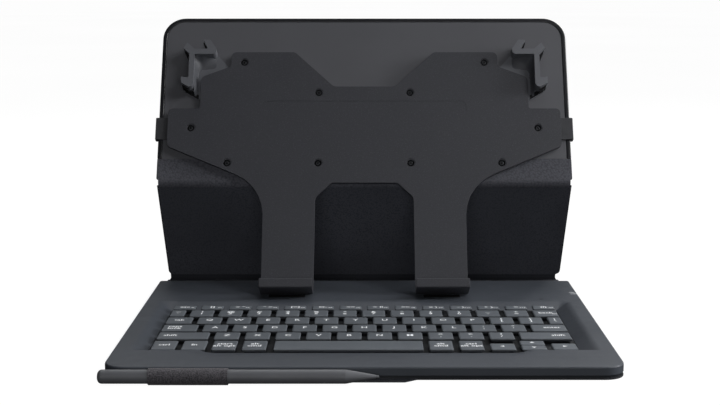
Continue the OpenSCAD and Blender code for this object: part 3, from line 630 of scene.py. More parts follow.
def op_mode(mode: str) -> None:
    """Switches the active object to edit or object mode."""
    bpy.ops.object.mode_set(mode=mode)


def pick_none() -> None:
    """Deselects every object."""
    for obj in bpy.context.selected_objects:
        obj.select_set(False)


def pick(*objects: bpy.types.Object) -> None:
    """Selects just these objects, the first as the active one.

    Args:
        objects: the objects to select; the first becomes the active one.
    """
    pick_none()
    for obj in objects:
        obj.hide_viewport = False
        obj.select_set(True)
    bpy.context.view_layer.objects.active = objects[0]


@dataclass(frozen=True)
class Plane:
    """A plane in which pieces are modelled flat: x to the right, y up the piece and z out of it."""

    origin: Triple
    tilt: float

    @property
    def matrix(self) -> Matrix:
        """From millimetres in the plane to metres in the frame."""
        turn = Matrix.Rotation(math.radians(self.tilt), 4, "X")
        return Matrix.Translation(self.origin) @ turn @ Matrix.Scale(MM, 4)

    def point(self, x: float, y: float, z: float) -> Vector:
        """A point of the plane, in the frame."""
        return self.matrix @ Vector((x, y, z))


def bezier(start: Vector, corner: Vector, end: Vector, steps: int) -> list[Vector]:
    """Points on a curve that turns from start to end inside a corner."""
    shares = [i / steps for i in range(steps + 1)]
    return [(1 - t) ** 2 * start + 2 * t * (1 - t) * corner + t * t * end for t in shares]


def held(number: float) -> float:
    """The number, kept between 0 and 1."""
    return min(1.0, max(0.0, number))


def direction(angle: float) -> Vector:
    """The way that rises from the deck's y at an angle in degrees."""
    return Vector((0, math.cos(math.radians(angle)), math.sin(math.radians(angle))))


def path_length(path: Sequence[Vector]) -> float:
    """The length in metres of a path given in millimetres."""
    return sum((b - a).length for a, b in zip(path, path[1:])) * MM


class Piece:
    """One mesh on a plane, shaped in millimetres and then put in place."""

    def __init__(self, obj: bpy.types.Object, plane: Plane) -> None:
        """Takes over an object whose mesh is in the plane's millimetres."""
        self.obj = obj
        self.plane = plane

    @classmethod
    def box(cls, name: str, plane: Plane, low: Triple, high: Triple) -> "Piece":
        """A block between two corners.

        Args:
            name: the piece's name.
            plane: the plane it is modelled in.
            low: its lowest corner.
            high: its highest corner.

        Returns:
            The block.
        """
        pick_none()
        middle = [(a + b) / 2 for a, b in zip(low, high)]
        size = [b - a for a, b in zip(low, high)]
        bpy.ops.mesh.primitive_cube_add(size=1, location=middle)
        obj = bpy.context.object
        obj.name = name
        obj.scale = size
        bpy.ops.object.transform_apply(location=True, rotation=True, scale=True)
        return cls(obj, plane)

    @classmethod
    def plate(cls, name: str, plane: Plane, outline: Sequence[Pair], low: float, high: float) -> "Piece":
        """A plate of an outline, given counter-clockwise, between two heights.

        Args:
            name: the piece's name.
            plane: the plane it is modelled in.
            outline: the outline's points.
            low: its lower height.
            high: its upper height.

        Returns:
            The plate.
        """
        pick_none()
        bpy.ops.mesh.primitive_circle_add(vertices=len(outline), radius=1, fill_type="NGON")
        obj = bpy.context.object
        obj.name = name
        for vertex, (x, y) in zip(obj.data.vertices, outline):
            vertex.co = (x, y, low)
        op_mode("EDIT")
        bpy.ops.mesh.select_all(action="SELECT")
        bpy.ops.mesh.extrude_region_move(TRANSFORM_OT_translate={"value": (0, 0, high - low)})
        bpy.ops.mesh.select_all(action="SELECT")
        bpy.ops.mesh.normals_make_consistent(inside=False)
        op_mode("OBJECT")
        return cls(obj, plane)

    @classmethod
    def rod(cls, name: str, plane: Plane, profile: Sequence[Pair], centre: Pair, steps: int = 48) -> "Piece":
        """A turned piece along x.

        Args:
            name: the piece's name.
            plane: its plane.
            profile: places along x and radii, from end to end.
            centre: the axis's y and z.
            steps: how many facets it has around.

        Returns:
            The piece.
        """
        (x, radius), *rest = profile
        pick_none()
        bpy.ops.mesh.primitive_circle_add(
            vertices=steps, radius=radius, fill_type="NGON", location=(x, *centre),
            rotation=(0, math.pi / 2, 0),
        )
        obj = bpy.context.object
        obj.name = name
        op_mode("EDIT")
        bpy.ops.mesh.select_all(action="SELECT")
        for next_x, next_radius in rest:
            bpy.ops.mesh.extrude_region_move(TRANSFORM_OT_translate={"value": (next_x - x, 0, 0)})
            bpy.ops.transform.resize(value=(1, next_radius / radius, next_radius / radius),
                                     center_override=(next_x, *centre))
            x, radius = next_x, next_radius
        bpy.ops.mesh.select_all(action="SELECT")
        bpy.ops.mesh.normals_make_consistent(inside=False)
        op_mode("OBJECT")
        bpy.ops.object.transform_apply(location=True, rotation=True, scale=True)
        return cls(obj, plane)

    @classmethod
    def lattice(cls, name: str, plane: Plane, rows: Sequence[Sequence[Vector]]) -> "Piece":
        """A net of faces over rows of points, joined where its borders meet.

        Args:
            name: the piece's name.
            plane: the plane it is modelled in.
            rows: the rows, each with as many points.

        Returns:
            The net.
        """
        pick_none()
        across, along = len(rows[0]) - 1, len(rows) - 1
        bpy.ops.mesh.primitive_grid_add(x_subdivisions=across, y_subdivisions=along, size=1)
        obj = bpy.context.object
        obj.name = name
        for vertex, point in zip(obj.data.vertices, (p for row in rows for p in row), strict=True):
            vertex.co = point
        op_mode("EDIT")
        bpy.ops.mesh.select_all(action="SELECT")
        bpy.ops.mesh.remove_doubles(threshold=0.0005)
        op_mode("OBJECT")
        return cls(obj, plane)

    @classmethod
    def disc(cls, name: str, plane: Plane, at: Pair, radius: float, levels: Pair,
             steps: int = 32) -> "Piece":
        """A round plate about a point, between two levels."""
        return cls.plate(name, plane, arc(at, radius, 0, 360 - 360 / steps, steps - 1), *levels)

    def close(self) -> "Piece":
        """Fills the holes and turns the faces outward.

        Returns:
            This piece.
        """
        pick(self.obj)
        op_mode("EDIT")
        bpy.ops.mesh.select_all(action="SELECT")
        bpy.ops.mesh.fill_holes(sides=0)
        bpy.ops.mesh.normals_make_consistent(inside=False)
        op_mode("OBJECT")
        return self

    @classmethod
    def cloth(cls, name: str, plane: Plane, path: Sequence[Vector], ends: Sequence[Pair], thickness: float,
              offset: float = 0, columns: int = 44) -> "Piece":
        """A strip of cloth that runs along a path.

        Args:
            name: the piece's name.
            plane: its plane.
            path: places on its middle, in the plane's y and z.
            ends: where it begins and ends across each of those places, along x.
            thickness: how thick it is.
            offset: 0 where the path is its middle, 1 or -1 where it is one of its faces.
            columns: how many faces there are across it.

        Returns:
            The strip.
        """
        rows = [[Vector((left + (right - left) * i / columns, at.y, at.z)) for i in range(columns + 1)]
                for at, (left, right) in zip(path, ends, strict=True)]
        piece = cls.lattice(name, plane, rows)
        piece.change("SOLIDIFY", thickness=thickness, offset=offset)
        return piece.smooth(60, flat=False)

    @classmethod
    def of_node(cls, name: str, plane: Plane, node: str, merge: float = 0.004) -> "Piece":
        """A copy of a CAD node's solid, merged and with its flat faces whole.

        Args:
            name: the piece's name.
            plane: the plane it is modelled in.
            node: the CAD node to copy.
            merge: points that are nearer than this become one.

        Returns:
            The copy.
        """
        mesh = frame["nodes"][node].data.copy()
        mesh.materials.clear()
        obj = bpy.data.objects.new(name, mesh)
        bpy.context.scene.collection.objects.link(obj)
        mesh.transform(plane.matrix.inverted())
        pick(obj)
        op_mode("EDIT")
        bpy.ops.mesh.select_all(action="SELECT")
        bpy.ops.mesh.remove_doubles(threshold=merge)
        bpy.ops.mesh.dissolve_limited(angle_limit=math.radians(0.8))
        bpy.ops.mesh.select_all(action="DESELECT")
        op_mode("OBJECT")
        return cls(obj, plane)

    def grow(self, *others: "Piece") -> "Piece":
        """Joins other pieces into this one.

        Args:
            others: the pieces to take in.

        Returns:
            This piece.
        """
        pick(self.obj, *(other.obj for other in others))
        bpy.ops.object.join()
        return self

    def mirrored(self, name: str) -> "Piece":
        """A copy of this piece on the other side of the middle.

        Args:
            name: the copy's name.

        Returns:
            The copy.
        """
        obj = self.obj.copy()
        obj.data = self.obj.data.copy()
        obj.name = name
        bpy.context.scene.collection.objects.link(obj)
        obj.data.transform(Matrix.Scale(-1, 4, (1, 0, 0)))
        pick(obj)
        op_mode("EDIT")
        bpy.ops.mesh.select_all(action="SELECT")
        bpy.ops.mesh.flip_normals()
        op_mode("OBJECT")
        return Piece(obj, self.plane)

    def pick_edges(self, where: Callable[[Vector, Vector], bool]) -> int:
        """Selects the edges whose two ends pass a test, and returns how many.

        Args:
            where: tells from an edge's two ends whether it passes.

        Returns:
            How many edges pass.
        """
        mesh = self.obj.data
        for part in (mesh.vertices, mesh.edges, mesh.polygons):
            part.foreach_set("select", [False] * len(part))
        chosen = 0
        for edge in mesh.edges:
            a, b = (mesh.vertices[i].co for i in edge.vertices)
            if where(a, b):
                edge.select = True
                chosen += 1
        return chosen

    def bevel(self, where: Callable[[Vector, Vector], bool], width: float, steps: int = 3) -> "Piece":
        """Rounds the edges whose two ends pass a test.

        Args:
            where: tells from an edge's two ends whether it passes.
            width: how wide the rounding is.
            steps: how many steps it has.

        Returns:
            This piece.
        """
        pick(self.obj)
        if not self.pick_edges(where):
            LOG.warning("%s has no edge to round", self.obj.name)
            return self
        op_mode("EDIT")
        bpy.ops.mesh.select_mode(type="EDGE")
        bpy.ops.mesh.bevel(offset=width, segments=steps, profile=0.5, clamp_overlap=True)
        bpy.ops.mesh.select_mode(type="VERT")
        op_mode("OBJECT")
        return self

    def change(self, kind: str, **settings: object) -> "Piece":
        """Adds a modifier with these settings and applies it.

        Args:
            kind: the modifier's type.
            settings: its settings, by name.

        Returns:
            This piece.
        """
        pick(self.obj)
        modifier = self.obj.modifiers.new(kind.lower(), kind)
        for key, setting in settings.items():
            setattr(modifier, key, setting)
        bpy.ops.object.modifier_apply(modifier=modifier.name)
        return self

    def soften(self, width: float, steps: int = 2, angle: float = 35) -> "Piece":
        """Rounds every edge that is sharper than an angle.

        Args:
            width: how wide the rounding is.
            steps: how many steps it has.
            angle: the angle in degrees.

        Returns:
            This piece.
        """
        return self.change(
            "BEVEL",
            width=width,
            segments=steps,
            limit_method="ANGLE",
            angle_limit=math.radians(angle),
            use_clamp_overlap=True,
            loop_slide=True,
        )

    def cut(self, tool: "Piece", operation: str = "DIFFERENCE") -> "Piece":
        """Cuts another piece out of this one, and removes it.

        Args:
            tool: the other piece.
            operation: what the Boolean modifier does.

        Returns:
            This piece.
        """
        self.change("BOOLEAN", operation=operation, object=tool.obj, solver="EXACT")
        bpy.data.objects.remove(tool.obj)
        return self

    def smooth(self, angle: float = 40, flat: bool = True) -> "Piece":
        """Shades it smooth up to an angle, with its large faces kept flat.

        Args:
            angle: the angle in degrees.
            flat: True where large faces stay flat.

        Returns:
            This piece.
        """
        pick(self.obj)
        bpy.ops.object.shade_smooth_by_angle(angle=math.radians(angle))
        if flat:
            self.change("WEIGHTED_NORMAL", mode="FACE_AREA", weight=50, keep_sharp=True)
        return self

    def put(self, body: str, finish: Finish, slot: str, *replaced: str) -> bpy.types.Object:
        """Moves the piece into the frame and dresses it.

        Args:
            body: the CAD body it rides on.
            finish: its finish.
            slot: the record's material slot.
            replaced: the CAD nodes it stands for.

        Returns:
            The finished object.
        """
        obj = self.settle(finish, slot, *replaced)
        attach(obj, body)
        return obj

    def shade_sides(self, finish: Finish, level: float) -> None:
        """Paints shade on the faces that stand upright below a level, with a second, darker finish; for a
        piece already put.

        Args:
            finish: the second finish, a dark copy that stands for shade.
            level: the level in the plane's millimetres.
        """
        obj = self.obj
        obj.data.materials.append(finish.material())
        for face in obj.data.polygons:
            if abs(face.normal.z) < 0.5 and face.center.z < level * MM:
                face.material_index = 1

    def settle(self, finish: Finish, slot: str, *replaced: str) -> bpy.types.Object:
        """Moves the piece into the frame with its finish, but on no body yet.

        Args:
            finish: its finish.
            slot: the record's material slot; not used.
            replaced: the CAD nodes it stands for.

        Returns:
            The finished object.
        """
        obj = self.obj
        obj.data.transform(self.plane.matrix)
        obj.data.materials.clear()
        obj.data.materials.append(finish.material())
        if replaced:
            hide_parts(*replaced)
        LOG.info("%s: %d faces", obj.name, len(obj.data.polygons))
        return obj


def dress(finish: Finish, *nodes: str) -> None:
    """Gives CAD nodes a finish and leaves their shape alone.

    Args:
        finish: the finish.
        nodes: the CAD nodes that take it.
    """
    for name in nodes:
        obj = frame["nodes"][name]
        obj.data.materials.clear()
        obj.data.materials.append(finish.material())


def arc(centre: Pair, radius: float, start: float, end: float, steps: int = 8) -> list[Pair]:
    """Points on an arc, its angles in degrees."""
    turns = [math.radians(start + (end - start) * i / steps) for i in range(steps + 1)]
    return [(centre[0] + radius * math.cos(t), centre[1] + radius * math.sin(t)) for t in turns]


def rounded(corners: Iterable[Triple], steps: int = 6) -> list[Pair]:
    """An outline whose corners, given as x, y and radius, are rounded.

    Args:
        corners: each corner's x, y and radius.
        steps: how many steps each rounding has.

    Returns:
        The outline's points.
    """
    corners = list(corners)
    points: list[Pair] = []
    for i, (x, y, radius) in enumerate(corners):
        corner = Vector((x, y))
        if radius <= 0:
            points.append((x, y))
            continue
        before = (Vector(corners[i - 1][:2]) - corner).normalized()
        after = (Vector(corners[(i + 1) % len(corners)][:2]) - corner).normalized()
        half = before.angle(after) / 2
        middle = corner + (before + after).normalized() * radius / math.sin(half)
        start = corner + before * radius / math.tan(half) - middle
        end = corner + after * radius / math.tan(half) - middle
        first = math.degrees(math.atan2(start.y, start.x))
        sweep = (math.degrees(math.atan2(end.y, end.x)) - first + 180) % 360 - 180
        points += arc((middle.x, middle.y), radius, first, first + sweep, steps)
    return points


# ---------------------------------------------------------------- the planes


def joint(name: str) -> dict:
    """The record's joint of that name."""
    return next(j for j in frame["joints"] if j["name"] == name)


DECK_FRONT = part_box("top_case")[0].y
FOLD = Vector(joint("cover_fold")["pos_m"])
CREASE = Vector(joint("crease_fold")["pos_m"])
RISE = CREASE - FOLD
FLAP_TILT = math.degrees(math.atan2(RISE.z, RISE.y))
FLAP_L = RISE.length / MM
REST_AXIS = next(m for m in frame["record"]["mounts"] if m["name"] == "tablet_rest")["axis"]
PANEL_TILT = math.degrees(math.atan2(-REST_AXIS[1], REST_AXIS[2]))

DECK = Plane((0, DECK_FRONT, 0), 0)
FLAP = Plane(tuple(FOLD), FLAP_TILT)
PANEL = Plane(tuple(CREASE), PANEL_TILT)


def span(node: str, plane: Plane = DECK) -> tuple[Vector, Vector]:
    """A CAD node's lowest and highest corner in a plane's millimetres.

    Args:
        node: the CAD node.
        plane: the plane to measure in.

    Returns:
        Its lowest and its highest corner.
    """
    inverse = plane.matrix.inverted()
    points = [inverse @ v.co for v in frame["nodes"][node].data.vertices]
    low = Vector([min(p[i] for p in points) for i in range(3)])
    high = Vector([max(p[i] for p in points) for i in range(3)])
    return low, high


def loose_spans(node: str, plane: Plane = DECK) -> list[tuple[Vector, Vector]]:
    """The corners of each separate solid of a CAD node, from left to right and front to back.

    Args:
        node: the CAD node.
        plane: the plane to measure in.

    Returns:
        The lowest and the highest corner of each solid.
    """
    copy = Piece.of_node("probe", plane, node)
    pick(copy.obj)
    before = set(bpy.data.objects)
    op_mode("EDIT")
    bpy.ops.mesh.select_all(action="SELECT")
    bpy.ops.mesh.separate(type="LOOSE")
    op_mode("OBJECT")
    found = []
    for obj in [copy.obj, *(set(bpy.data.objects) - before)]:
        points = [v.co.copy() for v in obj.data.vertices]
        low = Vector([min(p[i] for p in points) for i in range(3)])
        high = Vector([max(p[i] for p in points) for i in range(3)])
        found.append((low, high))
        bpy.data.objects.remove(obj)
    return sorted(found, key=lambda box: (round(box[0].x, 1), box[0].y))


def middles(node: str, plane: Plane) -> list[Pair]:
    """The middle of each separate solid of a CAD node, in the plane."""
    return [((low.x + high.x) / 2, (low.y + high.y) / 2) for low, high in loose_spans(node, plane)]


# ---------------------------------------------------------------- the keyboard half


@dataclass
class Deck:
    """The keyboard's moulded top with its sunken key well, and the case under it."""

    front_corner: float = 11.0
    rear_corner: float = 1.6
    well_corner: float = 7.0
    well_floor: float = 3.5
    slope_run: float = 7.8
    rear_run: float = 10.87
    slope_round: float = 2.2
    wall_round: float = 0.5
    scoop_start: float = 20.2
    scoop_depth: float = 1.63
    scoop_half: float = 77.0
    scoop_widen: float = 9.0
    scoop_blend: float = 5.0
    edge_round: float = 0.9
    foot_bevel: float = 0.3
    tray_round: float = 0.4
    pocket_gap: float = 0.2
    light_play: float = 0.05
    wall: float = 3.2
    roof: float = 1.2
    rear_bay: float = 145.85
    palm_bay: float = 17.4
    palm_inset: float = 3.0
    boss_r: float = 3.0
    screw_reach: float = 3.4
    switch_room: float = 1.4
    slot_start: float = 1.6
    slot_lip: float = 0.4
    mouth_depth: float = 6.0
    bore_r: float = 1.0
    well_play: float = 0.2
    front_play: float = 0.7
    wall_lean: float = 0.12
    least_corner: float = 0.3
    ring_growth: float = 1.5
    mark_insets: Pair = (1.2, 0.4)
    mark_steps: Pair = (1.5, -2.6)
    mark_lengths: Pair = (3.4, 4.2)
    mark_half: float = 0.35
    mark_corner: float = 0.2

    def build(self) -> None:
        """Makes the top shell and dresses the case and the works under it."""
        self.top_shell()
        self.loose_parts()
        dress(CASE_PLASTIC, "bottom_case", "battery_bay")
        dress(SCREW_METAL, "case_screws")
        dress(STEEL, "support_plate")
        # The dome sheet and the links are darkened as painted shade between the keys.
        dress(SHADED_WELL_PLASTIC, "dome_sheet")
        dress(SHADED_LINK_PLASTIC, "scissor_links")
        dress(CIRCUIT, "circuit_board")
        dress(NICKEL, "dock_magnets")
        dress(CELL_STEEL, "coin_cells")
        sole = Piece.of_node("base_cover", DECK, "bottom_cover").soften(0.2, 2, 30)
        sole.smooth(40).put("keyboard_base", SKIN, "cover_fabric", "bottom_cover")

    def ring(self, half: float, front: float, rear: float, corners: Pair,
             shape: Callable[[float], Pair]) -> list[Vector]:
        """One line round the shell, from its rear left corner and back to it.

        Args:
            half: half its width.
            front: its front edge's place along y.
            rear: its rear edge's place along y.
            corners: the radii of its front and rear corners.
            shape: the place along y and the height of its front edge at a place across.

        Returns:
            Its points, the last one the same as the first.
        """
        front_r, rear_r = corners
        flat = half - front_r
        level = shape(half)[1]
        places = [
            *arc((-half + rear_r, rear - rear_r), rear_r, 180, 90, 6),
            *arc((half - rear_r, rear - rear_r), rear_r, 90, 0, 6),
            *arc((half - front_r, front + front_r), front_r, 0, -90, 6),
        ]
        points = [Vector((x, y, level)) for x, y in places]
        for i in range(1, 80):
            x = flat * (1 - i / 40)
            y, z = shape(x)
            points.append(Vector((x, y, z)))
        last = arc((-half + front_r, front + front_r), front_r, 270, 180, 6)
        points += [Vector((x, y, level)) for x, y in last]
        return [*points, points[0]]

    def scoop(self, x: float, share: float) -> float:
        """How deep the hollow in front of the keys is, at a share of its way from its start to the wall.

        Args:
            x: the place across the deck.
            share: the share of the way, from 0 to 1.

        Returns:
            The depth.
        """
        edge = held((self.scoop_half + self.scoop_widen * share - abs(x)) / self.scoop_blend + 0.5)
        slope = 2.286 * share ** 2 if share < 0.25 else 1.143 * (share - 0.125)
        return self.scoop_depth * slope * edge * edge * (3 - 2 * edge)

    def top_shell(self) -> None:
        """The top case: its outer wall and edge, the deck, and the well with its sloping sides."""
        low, high = span("top_case")
        keys_low, keys_high = span("dome_sheet")
        top, base = high.z, low.z
        opening_half = keys_high.x + self.well_play
        wall = keys_low.y - self.front_play
        outer = (self.front_corner, self.rear_corner)
        depth = top - self.well_floor

        def outer_ring(inset: float, z: float) -> list[Vector]:
            """A ring of the outer wall.

            Args:
                inset: how far inside the outer wall it lies.
                z: its height.

            Returns:
                The ring's points.
            """
            corners = tuple(max(self.least_corner, r - inset) for r in outer)
            front = low.y + inset
            return self.ring(high.x - inset, front, high.y - inset, corners, lambda x: (front, z))

        def deck_ring(share: float) -> list[Vector]:
            """A ring of the deck between its edge and the well, and of the hollow in its front.

            Args:
                share: the share of the way from the hollow's start to the well, from 0 to 1.

            Returns:
                The ring's points.
            """
            front = self.scoop_start + (wall - self.wall_round - self.scoop_start) * share
            grown = self.ring_growth * (1 - share)
            rear_round = self.slope_round * self.rear_run / self.slope_run
            return self.ring(
                opening_half + self.slope_run + self.slope_round + grown,
                front,
                keys_high.y + self.well_play + self.rear_run + rear_round + grown,
                (1.0, self.well_corner + grown),
                lambda x: (front, top - self.scoop(x, share)),
            )

        def well_ring(run: float, fallen: float) -> list[Vector]:
            """A ring of the well's sides: how far in it is, and how far down.

            Args:
                run: how far in it is from the top of the slope.
                fallen: how far down it is.

            Returns:
                The ring's points.
            """

            def front_edge(x: float) -> Pair:
                """The front wall's place and height.

                Args:
                    x: the place across the deck.

                Returns:
                    The wall's place along y and its height.
                """
                hollow = self.scoop(x, 1)
                drop = (depth - hollow) * fallen / depth
                turn = min(drop, self.wall_round)
                along = math.sqrt(self.wall_round ** 2 - (self.wall_round - turn) ** 2)
                return wall - self.wall_round + along + self.wall_lean * (drop - turn), top - hollow - drop

            front = front_edge(opening_half)[0]
            rear = keys_high.y + self.well_play + self.rear_run * (1 - run / self.slope_run)
            corner = max(self.least_corner, self.well_corner - 0.75 * (run + self.slope_round))
            corners = (self.least_corner, corner)
            return self.ring(opening_half + self.slope_run - run, front, rear, corners, front_edge)

        fall = depth / self.slope_run
        bend = self.slope_round
        rings = [outer_ring(self.foot_bevel, base), outer_ring(0, base + self.foot_bevel)]
        for turn in range(0, 91, 18):
            angle = math.radians(turn)
            rings.append(outer_ring(self.edge_round * (1 - math.cos(angle)),
                                    top - self.edge_round * (1 - math.sin(angle))))
        rings += [deck_ring(share) for share in (0, 0.08, 0.16, 0.25, 0.5, 0.75, 1)]
        rings += [well_ring(bend * (step / 4 - 1), fall * bend * step * step / 64) for step in range(1, 9)]
        rings += [well_ring(run, fall * run) for run in (4, 5.9, self.slope_run)]
        rings.append([Vector((p.x, p.y, base)) for p in rings[-1]])
        shell = Piece.lattice("deck_shell", DECK, [*rings, rings[0]]).close()
        self.pockets(shell)
        shell.smooth(32)
        shell.put("keyboard_base", DECK_PLASTIC, "deck_plastic", "top_case")

    def bays(self, base: float, roof: float) -> Piece:
        """The hollows under the deck, less the round bosses that take the case screws.

        Args:
            base: the shell's lowest height.
            roof: the height of the hollows' roof.

        Returns:
            The hollows, as one piece.
        """
        low, high = span("top_case")
        half = high.x - self.wall
        rear_end = (half, high.y - self.wall, roof)
        rear = Piece.box("rear_bay", DECK, (-half, self.rear_bay, base - 1), rear_end)
        reach = half - self.palm_inset
        palm_end = (reach, self.palm_bay, roof)
        palm = Piece.box("palm_bay", DECK, (-reach, low.y + self.wall, base - 1), palm_end)
        levels = (base - 2, roof + 1)
        bosses = [Piece.disc("boss", DECK, at, self.boss_r, levels) for at in middles("case_screws", DECK)]
        return rear.grow(palm).cut(bosses[0].grow(*bosses[1:]))

    def pockets(self, shell: Piece) -> None:
        """Hollows the shell, and cuts its screw holes, its openings and the light's window.

        Args:
            shell: the shell to cut.
        """
        top, base = span("top_case")[1].z, span("top_case")[0].z
        roof = top - self.roof
        shell.cut(self.bays(base, roof))
        levels = (base - 1, base + self.screw_reach)
        bores = [Piece.disc("bore", DECK, at, self.bore_r, levels) for at in middles("case_screws", DECK)]
        shell.cut(bores[0].grow(*bores[1:]))
        low, high = span("battery_tray")
        gap = self.pocket_gap
        shell.cut(Piece.box("mouth", DECK, (low.x - 2, low.y - gap, base - 1),
                            (low.x + self.mouth_depth, high.y + gap, roof)))
        low, high = span("power_switch")
        lip = self.slot_lip
        shell.cut(Piece.box("slot", DECK, (low.x, low.y + self.slot_start, low.z + lip),
                            (high.x + 2, high.y + self.switch_room, high.z - lip)))
        low, high = span("status_light")
        play = self.light_play
        shell.cut(Piece.box("window", DECK, (low.x - play, low.y - play, roof - 0.5),
                            (high.x + play, high.y + play, high.z + 1)))

    def loose_parts(self) -> None:
        """The battery tray, the switch, the light and the strips that the feet stand on."""
        tray = Piece.of_node("tray_face", DECK, "battery_tray").soften(self.tray_round, 2)
        tray.smooth(30).put("battery_tray", CASE_PLASTIC, "case_dark", "battery_tray")
        slider = Piece.of_node("switch_slider", DECK, "power_switch").soften(0.2, 2)
        slider.smooth(30).put("power_switch", RUBBER_AND_SHADE, "rubber", "power_switch")
        strips = Piece.of_node("dock_pads", DECK, "dock_strips").soften(0.3, 2)
        strips.smooth(30).put("keyboard_base", RUBBER_AND_SHADE, "rubber", "dock_strips")
        light = Piece.of_node("light_window", DECK, "status_light").soften(0.25, 3)
        light.smooth(30).put("keyboard_base", LENS, "light_lens", "status_light")
        self.switch_marks()

    def switch_marks(self) -> None:
        """The two small printed dashes beside the switch, on and off."""
        high = span("top_case")[1]
        middle = sum(corner.y for corner in span("power_switch")) / 2
        marks = []
        for inset, along, length in zip(self.mark_insets, self.mark_steps, self.mark_lengths, strict=True):
            right = high.x - inset
            y = middle + along
            left, front, rear = right - length, y - self.mark_half, y + self.mark_half
            outline = [(x, y, self.mark_corner)
                       for x, y in ((left, front), (right, front), (right, rear), (left, rear))]
            marks.append(Piece.plate("mark", DECK, rounded(outline), high.z - EPS, high.z + EPS))
        printed = marks[0].grow(*marks[1:])
        printed.obj.name = "switch_marks"
        printed.put("keyboard_base", LEGEND_INK, "deck_plastic")


class Side(Enum):
    """Where on its key a legend stands."""

    LEFT = "LEFT"
    MIDDLE = "CENTER"
    RIGHT = "RIGHT"


@dataclass(frozen=True)
class Legend:
    """What is printed on one key, its lines from the back to the front."""

    lines: tuple[str, ...]
    side: Side = Side.MIDDLE
    height: float = 3.7
    small: str = ""


def words(*lines: str, side: Side = Side.MIDDLE, small: str = "") -> Legend:
    """The legend of a key that does something, with a second one in its front right corner."""
    return Legend(lines, side, 3.2, small)


def letters(row: str) -> list[Legend]:
    """One large letter for each key."""
    return [Legend((letter,)) for letter in row]


def pairs(*both: str) -> list[Legend]:
    """Two signs for each key, the shifted one behind the plain one."""
    return [Legend((sign[0], sign[1]), height=3.3) for sign in both]


LEGENDS: dict[str, list[Legend]] = {
    "function_keys": [
        words("esc", small="fn"),
        *(words(sign, small=f"F{i + 1}") for i, sign in enumerate(
            ("[]", "< *", "* >", "[=]", "O-", "<<", "> II", ">>", "x )", "- )", "+ )", "=")
        )),
        words("(I)", small="del"),
    ],
    "number_keys": [*pairs("~`", "!1", "@2", "#3", "$4", "%5", "^6", "&7", "*8", "(9", ")0", "_-", "+=")],
    "backspace_key": [words("back", small="del")],
    "tab_key": [words("tab")],
    "upper_letter_keys": [*letters("QWERTYUIOP"), *pairs("{[", "}]", "|\\")],
    "caps_lock_key": [words("caps", "lock", side=Side.LEFT)],
    "home_letter_keys": [*letters("ASDFGHJKL"), *pairs(":;", "\"'")],
    "enter_key": [words("enter", side=Side.RIGHT)],
    "left_shift_key": [words("shift", side=Side.LEFT)],
    "lower_letter_keys": [*letters("ZXCVBNM"), *pairs("<,", ">.", "?/")],
    "right_shift_key": [words("shift", side=Side.RIGHT)],
    "modifier_keys": [
        words("ctrl"),
        words("fn"),
        words("start", "alt opt"),
        words("alt", "cmd"),
        words("alt", "cmd"),
        words("ctrl", "alt opt"),
    ],
}


